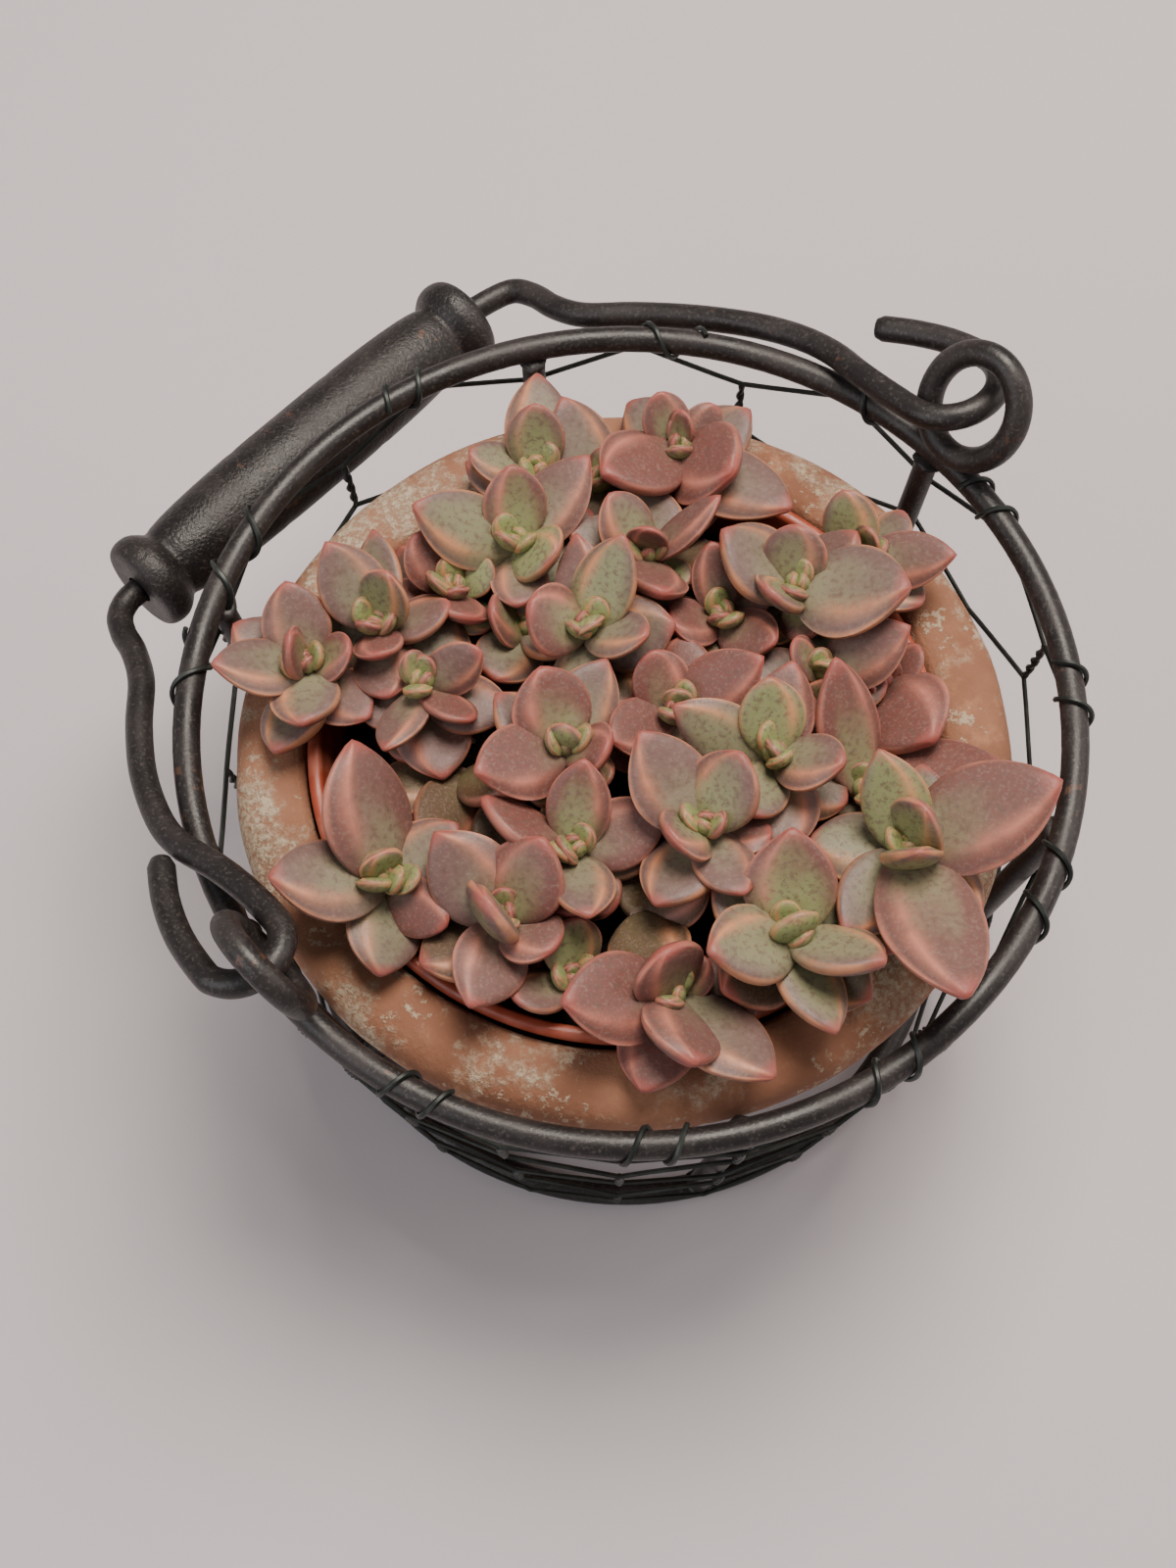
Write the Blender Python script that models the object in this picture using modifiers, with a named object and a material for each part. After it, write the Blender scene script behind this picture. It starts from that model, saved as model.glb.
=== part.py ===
"""A potted sedum in a wire basket with a swinging bail handle, built together with its pot.

The origin is on the surface that the basket stands on, below the middle of its box, with +Z up.
Pieces are worked out from the rings' own centre, and FRAME_SHIFT then moves them all to the origin.
Sizes are written in millimetres and turned to metres by MM.
"""

import math

import bmesh
import bpy
from mathutils import Matrix, Vector
from mathutils.bvhtree import BVHTree

MM = 0.001
GAP = 0.3
FRAME_SHIFT = (6.9, -9.4)

# Heavy wire of the basket
WIRE_R = 2.2
TOP_RING_R = 70.0
TOP_RING_Z = 85.0
BASE_RING_R = 57.5
BASE_RING_Z = WIRE_R * math.cos(math.radians(22.5))
STAY_R = 2.0
STAY_TOP_R = 69.0
STAY_COUNT = 6
STAY_TURN = 43.5
FLOOR_ROD_R = 1.8
FLOOR_ROD_SPACING = 20.0
FLOOR_ROD_TURN = 13.5

# Chicken wire
NET_WIRE_R = 0.45
NET_COLUMNS = 12
NET_ROWS = 4
NET_ZIGZAG = 6.2
NET_TWIST = 11.0
NET_BOTTOM_Z = 6.2
NET_TURN = 28.5
NET_FLOOR_R = 52.5
NET_FLOOR_CELL = 17.0

# Bail, its ears and the turned grip
AXIS_TURN = 41.0
AXIS_RISE = 12.7
EAR_R = 8.0
EAR_FOOT_R = 68.8
EAR_LEAN_LEFT = 15.0
EAR_LEAN_RIGHT = 30.0
HOOK_WIDTH_LEFT = 13.0
HOOK_WIDTH_RIGHT = 16.0
HOOK_BOTTOM = -1.0
BAIL_DROP = 18.5
GRIP_MIDDLE = (-4.5, 83.5)
GRIP_SKEW = 6.0
GRIP_LENGTH = 78.0
GRIP_R = 7.9
GRIP_BORE_R = 2.55

# Clay pot and nursery pot
POT_OFFSET = (-1.0, -3.2)
POT_TOP_Z = 81.4
POT_RIM_R = 62.5
POT_RIM_HEIGHT = 11.0
POT_WALL = 6.0
POT_BASE_R = 45.0
POT_HOLE_R = 8.0
NURSERY_RIM_R = 50.3
NURSERY_TOP_Z = 81.8
NURSERY_WALL = 1.0
NURSERY_BASE_R = 36.0
NURSERY_HOLE_R = 4.0

# Soil
SOIL_EDGE_DROP = 9.5
SOIL_CROWN_DROP = 6.5
STEM_R = 1.5
STEM_DEPTH = 7.0

# Leaf form: shares of the length, width and thickness
LEAF_THICK = 0.42
LEAF_CLEAR = 0.35
LEAF_REACH = 62.3
LEAF_RINGS = (0.0, 0.36, 0.76)
LEAF_SIDES = 6
BUD_RINGS = (0.0, 0.55)
BUD_SIDES = 4

# Each rosette: its crown from the pot's centre, with the height over the clay rim, then its leaves as
# azimuth and pitch in degrees, length and width. The first leaves listed keep their place best.
ROSETTES = {
    "sedum_01": ((-14, 45, 6), ((92, 48, 12, 8.5), (75, 14, 19, 10), (170, 18, 12, 7), (20, 12, 11, 7))),
    "sedum_02": ((9.4, 48.3, 8), ((215, 22, 17, 12), (288, 30, 14, 13), (325, 10, 21, 11), (135, 40, 11, 7),
                                  (42, 38, 10, 6), (92, 58, 8, 5))),
    "sedum_03": ((-17, 29, 11), ((95, 45, 13, 9), (172, 18, 18, 10.5), (320, 38, 11, 9), (50, 14, 18, 9.5),
                                 (255, 5, 12, 8), (200, 60, 6.5, 4.5))),
    "sedum_04": ((3.7, 27.4, 10), ((28, 30, 15, 7), (130, 35, 12, 8.5), (282, 32, 13, 9.5), (95, 50, 10, 6),
                                   (160, 6, 13, 9), (235, 55, 6, 4.5))),
    "sedum_05": ((27, 20.5, 12), ((344, 24, 19, 14), (95, 48, 11, 9), (218, 45, 9.5, 8), (148, 22, 15, 12),
                                  (20, 66, 5.5, 4.5))),
    "sedum_06": ((15.5, 18.5, 6), ((100, 32, 12, 6.5), (318, 24, 12, 8), (200, 26, 10, 8), (30, 24, 9, 6),
                                   (250, 60, 5, 4))),
    "sedum_07": ((38.3, 29, 6), ((352, 16, 15, 8.5), (112, 38, 12, 8), (50, 35, 9.5, 5), (175, 12, 14, 8),
                                 (15, 50, 7, 4), (265, 20, 10, 7))),
    "sedum_08": ((-6, 12.6, 13), ((62, 38, 16, 9), (175, 36, 11.5, 10), (338, 36, 12, 8), (112, 16, 17, 8.5),
                                  (95, 62, 6, 5.5), (262, 10, 13, 8.5))),
    "sedum_09": ((-27, 22.3, 8), ((132, 30, 11, 8), (28, 35, 10, 7), (292, 28, 9, 8), (205, 40, 8, 5),
                                  (72, 16, 14, 8))),
    "sedum_10": ((-38.6, 15, 10), ((128, 28, 15, 9.5), (62, 40, 12, 8), (272, 30, 9, 7), (95, 12, 16, 8),
                                   (12, 16, 12, 8), (205, 55, 6, 4.5))),
    "sedum_11": ((-50, 8.8, 8), ((192, 22, 15, 9), (105, 26, 13.5, 9.5), (272, 26, 13, 9.5), (8, 38, 10, 7),
                                 (160, 42, 11, 7), (320, 8, 13, 8.5), (70, 62, 6, 5))),
    "sedum_12": ((-31.7, 5, 9), ((14, 32, 12, 7), (318, 26, 11.5, 7), (248, 14, 14, 7), (345, 6, 14, 9),
                                 (120, 52, 6.5, 5))),
    "sedum_13": ((31.4, 7, 8), ((22, 24, 15, 9), (150, 42, 9, 6), (305, 38, 9, 7), (205, 14, 13, 9),
                                (85, 58, 6, 4.5), (262, 2, 12, 8))),
    "sedum_14": ((-9, -7.5, 13), ((112, 34, 13, 11), (208, 22, 16.5, 10.5), (330, 42, 10, 8), (58, 16, 15, 9.5),
                                  (262, 58, 6.5, 5.5))),
    "sedum_15": ((8, 0, 9), ((24, 26, 16, 9.5), (118, 34, 11, 8), (212, 20, 13, 9), (300, 18, 11, 8),
                             (80, 60, 6, 5))),
    "sedum_16": ((22.6, -8.9, 13), ((98, 40, 12.5, 9), (338, 30, 12.5, 9), (158, 14, 17, 9), (70, 12, 15, 9),
                                    (250, 16, 12, 8), (40, 64, 5.5, 4.5))),
    "sedum_17": ((11.7, -21, 14), ((58, 38, 13, 10.5), (128, 20, 17, 11), (212, 44, 10, 8.5), (296, 12, 19, 12),
                                   (318, 50, 8, 6.5), (95, 68, 5, 4.5))),
    "sedum_18": ((-7.8, -23, 10), ((82, 36, 14, 8.5), (166, 22, 16, 10), (280, 28, 14, 8.5), (22, 14, 15, 9.5),
                                   (230, 60, 6, 5))),
    "sedum_19": ((-18.3, -33.5, 9), ((56, 36, 14, 11), (132, 24, 16, 11.5), (196, 38, 11, 10), (322, 38, 10.5, 9),
                                     (252, 8, 15, 10), (95, 66, 6, 5))),
    "sedum_20": ((-36.5, -27, 8), ((104, 28, 21, 13.5), (188, 14, 19.5, 13), (62, 18, 17, 11), (92, 60, 8, 7),
                                   (322, 10, 12, 8), (350, 48, 7, 5), (240, 50, 7, 5.5))),
    "sedum_21": ((-8, -41, 2), ((88, 36, 10, 8.5), (205, 24, 11, 7.5), (308, 26, 9, 6), (150, 30, 9, 6))),
    "sedum_22": ((6.8, -45.5, 8), ((192, 22, 18, 12), (112, 42, 12, 10.5), (274, 30, 15, 11.5), (318, 12, 19, 11.5),
                                   (8, 42, 9, 7.5), (66, 20, 12, 9), (222, 66, 5, 4.5))),
    "sedum_23": ((24.5, -37, 12), ((204, 26, 16, 11), (330, 26, 16, 10.5), (92, 34, 16, 12), (130, 56, 9, 7),
                                   (272, 50, 8, 7.5), (290, 4, 16, 9.5), (50, 64, 6, 5))),
    "sedum_24": ((42, -24, 13), ((17, 20, 24, 14), (282, 16, 28, 13.5), (112, 34, 16, 9), (58, 42, 13, 9),
                                 (268, 46, 14.5, 8), (338, 44, 11, 6), (232, 14, 16, 10), (180, 68, 5, 4.5))),
    "sedum_25": ((40.5, 8, 3), ((298, 22, 16, 13.5), (12, 26, 9, 6))),
    "sedum_26": ((37, -11, 4), ((28, 14, 22, 15), (108, 20, 22, 10), (340, 4, 14, 9))),
    "sedum_27": ((30.5, -1.5, 1), ((80, 18, 12, 9), (10, 12, 12, 9), (270, 6, 12, 9))),
    "sedum_28": ((-25.5, -7, 1), ((255, 14, 16, 10), (340, 12, 16, 10.5), (190, 10, 14, 9))),
    "sedum_29": ((-3.5, 44.5, 4), ((118, 22, 15, 10), (60, 30, 10, 7), (200, 10, 12, 9), (270, 14, 10, 8))),
    "sedum_30": ((2, -31, 3), ((285, 24, 13, 11), (20, 20, 12, 9), (80, 22, 9, 7))),
    "sedum_31": ((-15.5, 17.5, 4), ((320, 22, 12, 9), (245, 20, 12, 9.5), (190, 12, 11, 8), (20, 20, 9, 7))),
    "sedum_32": ((-23, -20, 2), ((75, 16, 16, 11), (10, 16, 14, 10), (280, 10, 12, 9))),
}

# Colours as linear RGB
COLOURS = {
    "dark_painted_wire": ((0.022, 0.018, 0.017), 0.5, 0.6),
    "netting_wire": ((0.012, 0.02, 0.018), 0.5, 0.5),
    "terracotta": ((0.36, 0.16, 0.085), 0.85, 0.0),
    "brick_red_plastic": ((0.3, 0.06, 0.035), 0.4, 0.0),
    "potting_soil": ((0.012, 0.009, 0.008), 0.95, 0.0),
    "sedum_leaf": ((0.32, 0.17, 0.13), 0.5, 0.0),
}


# Scene helpers


def clear_scene():
    for obj in list(bpy.data.objects):
        bpy.data.objects.remove(obj, do_unlink=True)


def new_collection(name):
    collection = bpy.data.collections.new(name)
    bpy.context.scene.collection.children.link(collection)
    return collection


def material(name):
    found = bpy.data.materials.get(name)
    if found:
        return found
    colour, roughness, metallic = COLOURS[name]
    made = bpy.data.materials.new(name)
    made.use_nodes = True
    shader = made.node_tree.nodes["Principled BSDF"]
    shader.inputs["Base Color"].default_value = (*colour, 1.0)
    shader.inputs["Roughness"].default_value = roughness
    shader.inputs["Metallic"].default_value = metallic
    return made


def add(name, data, collection, look):
    obj = bpy.data.objects.new(name, data)
    collection.objects.link(obj)
    data.materials.append(material(look))
    return obj


def mesh_from(name, points, faces):
    """Mesh of points in millimetres, with its faces turned outwards."""
    data = bpy.data.meshes.new(name)
    data.from_pydata([tuple(Vector(point) * MM) for point in points], [], faces)
    shape = bmesh.new()
    shape.from_mesh(data)
    bmesh.ops.recalc_face_normals(shape, faces=shape.faces)
    shape.to_mesh(data)
    shape.free()
    return data


def polar(radius, turn, z=0.0):
    angle = math.radians(turn)
    return Vector((radius * math.cos(angle), radius * math.sin(angle), z))


def tube(name, points, radius, collection, look, cyclic=False):
    """A wire along points in millimetres: a poly curve with a round bevel and filled caps."""
    curve = bpy.data.curves.new(name, "CURVE")
    curve.dimensions = "3D"
    curve.twist_mode = "MINIMUM"
    curve.bevel_depth = radius * MM
    curve.bevel_resolution = 2
    curve.use_fill_caps = True
    spline = curve.splines.new("POLY")
    spline.points.add(len(points) - 1)
    for slot, point in zip(spline.points, points):
        slot.co = (*(Vector(point) * MM), 1.0)
    spline.use_cyclic_u = cyclic
    return add(name, curve, collection, look)


def turned(name, profile, steps, collection, look, centre=(0.0, 0.0), closed=True):
    """A profile of (radius, height) in millimetres swept about the vertical through centre."""
    points = [(radius, 0.0, z) for radius, z in profile]
    edges = [(i, i + 1) for i in range(len(points) - 1)] + ([(len(points) - 1, 0)] if closed else [])
    data = bpy.data.meshes.new(name)
    data.from_pydata([tuple(Vector(point) * MM) for point in points], edges, [])
    obj = add(name, data, collection, look)
    obj.location = (centre[0] * MM, centre[1] * MM, 0.0)
    screw = obj.modifiers.new("Turn", "SCREW")
    screw.steps = steps
    screw.render_steps = steps
    screw.use_merge_vertices = True
    screw.merge_threshold = 0.00001
    screw.use_smooth_shade = True
    return obj


def as_mesh(obj, weld=True):
    """The object's evaluated shape as plain mesh data in world space, with the object removed."""
    bpy.context.view_layer.update()
    graph = bpy.context.evaluated_depsgraph_get()
    data = bpy.data.meshes.new_from_object(obj.evaluated_get(graph))
    data.transform(obj.matrix_world)
    if weld:
        shape = bmesh.new()
        shape.from_mesh(data)
        bmesh.ops.remove_doubles(shape, verts=shape.verts, dist=0.000002)
        bmesh.ops.recalc_face_normals(shape, faces=shape.faces)
        shape.to_mesh(data)
        shape.free()
    bpy.data.objects.remove(obj, do_unlink=True)
    return data


def keep_largest(data):
    """Removes the closed pockets that a union leaves inside a solid."""
    shape = bmesh.new()
    shape.from_mesh(data)
    left, islands = set(shape.verts), []
    while left:
        island, queue = set(), [left.pop()]
        while queue:
            vert = queue.pop()
            island.add(vert)
            near = {edge.other_vert(vert) for edge in vert.link_edges} & left
            left -= near
            queue += near
        islands.append(island)
    islands.sort(key=len, reverse=True)
    for island in islands[1:]:
        bmesh.ops.delete(shape, geom=list(island), context="VERTS")
    shape.to_mesh(data)
    shape.free()


def fused(name, pieces, collection, look):
    """One solid made of overlapping mesh objects, which are used up."""
    body = pieces[0]
    for piece in pieces[1:]:
        union = body.modifiers.new("Union", "BOOLEAN")
        union.operation = "UNION"
        union.object = piece
        union.solver = "MANIFOLD"
    data = as_mesh(body, weld=False)
    for piece in pieces[1:]:
        bpy.data.objects.remove(piece, do_unlink=True)
    keep_largest(data)
    data.name = name
    data.materials.clear()
    return add(name, data, collection, look)


def smooth(points, per_span):
    """Points along a Catmull-Rom curve through the given ones."""
    points = [Vector(point) for point in points]
    ends = [points[0] * 2 - points[1], *points, points[-1] * 2 - points[-2]]
    found = []
    for a, b, c, d in zip(ends, ends[1:], ends[2:], ends[3:]):
        for step in range(per_span):
            u = step / per_span
            found.append(0.5 * (2 * b + (c - a) * u + (2 * a - 5 * b + 4 * c - d) * u * u
                                + (3 * b - a - 3 * c + d) * u ** 3))
    return [*found, points[-1]]


# Basket frame


def ring_profile(radius, z):
    """An eight-sided wire section with a flat side down."""
    corners = [math.radians(22.5 - 45 * i) for i in range(8)]
    return [(radius + WIRE_R * math.cos(a), z + WIRE_R * math.sin(a)) for a in corners]


def stay_radius(z):
    bottom = 2 * BASE_RING_Z + GAP
    top = TOP_RING_Z - WIRE_R - GAP
    return BASE_RING_R + (STAY_TOP_R - BASE_RING_R) * (z - bottom) / (top - bottom)


def make_rings(parts):
    turned("top_ring", ring_profile(TOP_RING_R, TOP_RING_Z), 40, parts, "dark_painted_wire")
    turned("base_ring", ring_profile(BASE_RING_R, BASE_RING_Z), 36, parts, "dark_painted_wire")


def make_stays(parts):
    low = 2 * BASE_RING_Z + GAP
    high = TOP_RING_Z - WIRE_R - GAP
    for number in range(STAY_COUNT):
        turn = STAY_TURN + 360 / STAY_COUNT * number
        points = [polar(stay_radius(low), turn, low), polar(stay_radius(high), turn, high)]
        tube(f"stay_{number + 1}", points, STAY_R, parts, "dark_painted_wire")


def make_floor_rods(parts):
    z = 2 * BASE_RING_Z + GAP + FLOOR_ROD_R
    for number in range(3):
        side = (number - 1) * FLOOR_ROD_SPACING
        half = math.sqrt(BASE_RING_R ** 2 - side ** 2)
        turn = Matrix.Rotation(math.radians(FLOOR_ROD_TURN), 3, "Z")
        ends = [turn @ Vector((-half, side, z)), turn @ Vector((half, side, z))]
        tube(f"floor_rod_{number + 1}", ends, FLOOR_ROD_R, parts, "dark_painted_wire")


# Chicken wire


def net_radius(z):
    return stay_radius(z) + STAY_R + NET_WIRE_R + 0.15


def net_levels():
    """Heights of the lattice's rows, each as (low, high) of its zigzag."""
    rise = NET_ZIGZAG + NET_TWIST
    return [(NET_BOTTOM_Z + rise * row, NET_BOTTOM_Z + rise * row + NET_ZIGZAG) for row in range(NET_ROWS + 1)]


def net_point(column, z):
    return polar(net_radius(z), NET_TURN + 360 / NET_COLUMNS / 2 * column, z)


def net_is_peak(row, column):
    return (column + row) % 2 == 0


def net_panel(name, parts):
    """The hexagon panel of the wall: each cell is one face, and a Wireframe modifier leaves its edges."""
    count = 2 * NET_COLUMNS
    points, faces = [], []
    for row, (low, high) in enumerate(net_levels()):
        points += [net_point(column, high if net_is_peak(row, column) else low) for column in range(count)]
    for row in range(NET_ROWS):
        for column in range(count):
            if not net_is_peak(row, column):
                continue
            left, right = column, (column + 2) % count
            middle = (column + 1) % count
            under, over = row * count, (row + 1) * count
            faces.append([under + left, under + middle, under + right, over + right, over + middle, over + left])
    panel = add(name, mesh_from(name, points, faces), parts, "netting_wire")
    frame = panel.modifiers.new("Wires", "WIREFRAME")
    frame.thickness = 2 * NET_WIRE_R * MM
    frame.use_even_offset = False
    frame.use_replace = True
    frame.use_boundary = True
    return panel


def net_wrap(turn, z, parts, ring_r, ring_z):
    """A wire end that leaves the wall at a peak, and winds once round the ring with 0.3 to spare."""
    coil = WIRE_R + NET_WIRE_R + GAP
    start = polar(net_radius(z), turn, z)
    points = [start - Vector((0, 0, 0.4)), start + Vector((0, 0, 0.8))]
    for step in range(9):
        angle = math.radians(-35 + 40 * step)
        side = turn + 0.35 * step
        points.append(polar(ring_r + coil * math.cos(angle), side, ring_z + coil * math.sin(angle)))
    wire = tube(f"wrap_{turn:.0f}", points, NET_WIRE_R * 1.05, parts, "netting_wire")
    wire.data.bevel_resolution = 0
    return wire


def make_netting(parts, cutters):
    panel = net_panel("netting_wall", parts)
    pieces = [panel]
    top = net_levels()[-1][1]
    for column in range(2 * NET_COLUMNS):
        if net_is_peak(NET_ROWS, column):
            wrap = net_wrap(NET_TURN + 360 / NET_COLUMNS / 2 * column, top, cutters, TOP_RING_R, TOP_RING_Z)
            pieces.append(add(wrap.name + "_solid", as_mesh(wrap), cutters, "netting_wire"))
    pieces[0] = add("netting_panel", as_mesh(panel), cutters, "netting_wire")
    fused("netting_wall", pieces, parts, "netting_wire")


def make_netting_floor(parts):
    """A flat disc of hexagon netting on the floor rods."""
    z = 2 * BASE_RING_Z + GAP + 2 * FLOOR_ROD_R + GAP + NET_WIRE_R
    side = NET_FLOOR_CELL / math.sqrt(3)
    shape = bmesh.new()
    for row in range(-5, 6):
        for column in range(-5, 6):
            x = NET_FLOOR_CELL * (column + 0.5 * (row % 2))
            y = 1.5 * side * row
            if math.hypot(x, y) + side > NET_FLOOR_R:
                continue
            ring = [shape.verts.new(polar(side, 30 + 60 * i) * MM + Vector((x, y, z)) * MM) for i in range(6)]
            shape.faces.new(ring)
    bmesh.ops.remove_doubles(shape, verts=shape.verts, dist=0.00001)
    data = bpy.data.meshes.new("netting_floor")
    shape.to_mesh(data)
    shape.free()
    panel = add("netting_floor", data, parts, "netting_wire")
    frame = panel.modifiers.new("Wires", "WIREFRAME")
    frame.thickness = 2 * NET_WIRE_R * MM
    frame.use_even_offset = False
    frame.use_replace = True
    frame.use_boundary = True


# Bail, ears and grip


def axis_frame():
    """Unit vectors: along the hinge axis, and level towards the resting grip."""
    return polar(1.0, AXIS_TURN), polar(1.0, AXIS_TURN + 90)


def bail_point(along, reach):
    """A point of the resting bail from its place along the axis and its distance from the axis."""
    axis, level = axis_frame()
    drop = math.radians(BAIL_DROP)
    direction = level * math.cos(drop) - Vector((0, 0, math.sin(drop)))
    return axis * along + direction * reach + Vector((0, 0, TOP_RING_Z + AXIS_RISE))


def make_ear(name, sign, lean, parts):
    """A leaning wire loop round the hinge axis, with its foot on the top ring."""
    axis, level = axis_frame()
    slope = math.tan(math.radians(lean))
    middle = EAR_FOOT_R + slope * EAR_R
    points = []
    for step in range(20):
        angle = math.radians(18 * step)
        rise = EAR_R * math.sin(angle)
        points.append(axis * sign * (middle + slope * rise) + level * EAR_R * math.cos(angle)
                      + Vector((0, 0, TOP_RING_Z + AXIS_RISE + rise)))
    tube(name, points, WIRE_R, parts, "dark_painted_wire", cyclic=True)
    return middle


def hook(sign, middle, lean, width):
    """The U bend that holds an ear: from the tail's foot round to the arm's foot."""
    slope = math.tan(math.radians(lean))
    low, high = -math.sin(math.radians(17.0)), 1.0
    centre = middle + slope * EAR_R * (low + high) / 2
    half = width / 2
    points = []
    for step in range(9):
        angle = math.radians(22.5 * step)
        points.append((sign * (centre + half * math.cos(angle)), HOOK_BOTTOM + half * (1 - math.sin(angle))))
    return points, centre, half


def grip_line(share):
    """A point of the grip's centre line, from -0.5 at its left end to 0.5 at its right end."""
    skew = math.radians(GRIP_SKEW)
    return (GRIP_MIDDLE[0] + GRIP_LENGTH * share * math.cos(skew),
            GRIP_MIDDLE[1] + GRIP_LENGTH * share * math.sin(skew))


def bail_route(left_middle, right_middle):
    left, left_centre, half_left = hook(-1, left_middle, EAR_LEAN_LEFT, HOOK_WIDTH_LEFT)
    right, right_centre, half_right = hook(1, right_middle, EAR_LEAN_RIGHT, HOOK_WIDTH_RIGHT)
    tail_left = -(left_centre + half_left)
    tail_right = right_centre + half_right
    start = [(tail_left + 6.5, 28.0), (tail_left + 3.0, 21.0), (tail_left + 0.8, 13.5)]
    left_arm = [(-65.3, 13.0), (-66.2, 20.5), (-67.9, 28.6), (-67.4, 35.5), (-64.3, 45.0), (-59.4, 54.0),
                (-54.2, 61.5), (-51.6, 68.0), (-50.6, 73.0), (-48.8, 77.0)]
    right_arm = [(43.5, 86.2), (45.6, 81.8), (46.0, 76.0), (48.0, 70.0), (53.6, 62.8), (59.6, 53.6),
                 (64.7, 43.5), (67.4, 35.0), (68.2, 27.5), (67.5, 20.0), (right_centre - half_right + 0.1, 13.0)]
    finish = [(tail_right - 0.8, 13.5), (tail_right - 3.0, 20.0), (tail_right - 6.0, 26.0)]
    before, after = grip_line(-0.5 - 2.2 / GRIP_LENGTH), grip_line(0.5 + 2.2 / GRIP_LENGTH)
    first = smooth([(*p, 0) for p in start + left + left_arm + [before, grip_line(-0.47)]], 2)[:-2]
    last = smooth([(*p, 0) for p in [grip_line(0.47), after] + right_arm + right[::-1] + finish], 2)[2:]
    inner = [Vector((*grip_line(share), 0)) for share in (-0.3, 0.3)]
    return [(p.x, p.y) for p in first + inner + last]


def make_bail(parts):
    left_middle = make_ear("ear_left", -1, EAR_LEAN_LEFT, parts)
    right_middle = make_ear("ear_right", 1, EAR_LEAN_RIGHT, parts)
    route = [bail_point(*point) for point in bail_route(left_middle, right_middle)]
    tube("bail", route, WIRE_R, parts, "dark_painted_wire")
    profile = [(GRIP_BORE_R, 0.0), (7.0, 0.0), (8.2, 1.2), (8.4, 3.2), (7.4, 5.4), (6.4, 6.8), (6.9, 9.0),
               (7.6, 18.0), (GRIP_R, 32.0)]
    half = GRIP_LENGTH / 2
    lower = [(radius, height - half) for radius, height in profile]
    upper = [(radius, -height) for radius, height in reversed(lower)]
    grip = turned("grip", (lower + upper)[::-1], 16, parts, "dark_painted_wire")
    start, end = bail_point(*grip_line(-0.5)), bail_point(*grip_line(0.5))
    grip.rotation_mode = "QUATERNION"
    grip.rotation_quaternion = (end - start).to_track_quat("Z", "Y")
    grip.location = (start + end) / 2 * MM


# Pots and soil


def pot_floor_z():
    return 2 * BASE_RING_Z + GAP + 2 * FLOOR_ROD_R + GAP + 2 * NET_WIRE_R + GAP


def make_clay_pot(parts):
    """A shallow clay pot with a thick rolled rim and a drainage hole."""
    floor, top = pot_floor_z(), POT_TOP_Z
    neck = POT_RIM_R - 3.6
    profile = [
        (POT_RIM_R - 9.0, top), (POT_RIM_R - 4.0, top - 0.2), (POT_RIM_R - 1.2, top - 1.8), (POT_RIM_R, top - 4.6),
        (POT_RIM_R - 0.6, top - 8.4), (POT_RIM_R - 1.6, top - POT_RIM_HEIGHT + 0.8),
        (neck, top - POT_RIM_HEIGHT), (POT_BASE_R + 1.0, floor + 1.2), (POT_BASE_R, floor), (POT_HOLE_R, floor),
        (POT_HOLE_R, floor + POT_WALL), (POT_BASE_R - POT_WALL - 1.0, floor + POT_WALL),
        (neck - POT_WALL - 1.0, top - 14.0), (POT_RIM_R - 11.4, top - 6.0), (POT_RIM_R - 11.6, top - 2.2),
        (POT_RIM_R - 10.6, top - 0.6),
    ]
    turned("clay_pot", profile, 32, parts, "terracotta", POT_OFFSET)


def nursery_radius(z):
    floor = pot_floor_z() + POT_WALL + GAP
    return NURSERY_BASE_R + (NURSERY_RIM_R - 1.6 - NURSERY_BASE_R) * (z - floor) / (NURSERY_TOP_Z - floor)


def make_nursery_pot(parts):
    """A thin plastic pot inside the clay one, with a small rolled lip."""
    floor, top = pot_floor_z() + POT_WALL + GAP, NURSERY_TOP_Z
    wall = NURSERY_WALL
    outer = nursery_radius(top - 3.0)
    profile = [
        (NURSERY_RIM_R - 0.9, top), (NURSERY_RIM_R, top - 0.8), (NURSERY_RIM_R - 0.2, top - 2.2), (outer, top - 3.0),
        (NURSERY_BASE_R, floor), (NURSERY_HOLE_R, floor), (NURSERY_HOLE_R, floor + wall),
        (NURSERY_BASE_R - wall, floor + wall), (outer - wall, top - 3.2), (NURSERY_RIM_R - 2.6, top - 1.0),
        (NURSERY_RIM_R - 1.9, top),
    ]
    turned("nursery_pot", profile, 32, parts, "brick_red_plastic", POT_OFFSET)


def soil_top(radius):
    edge = soil_radius()
    return POT_TOP_Z - SOIL_CROWN_DROP - (SOIL_EDGE_DROP - SOIL_CROWN_DROP) * (radius / edge) ** 2


def soil_radius():
    return nursery_radius(POT_TOP_Z - SOIL_EDGE_DROP) - NURSERY_WALL - GAP


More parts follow.
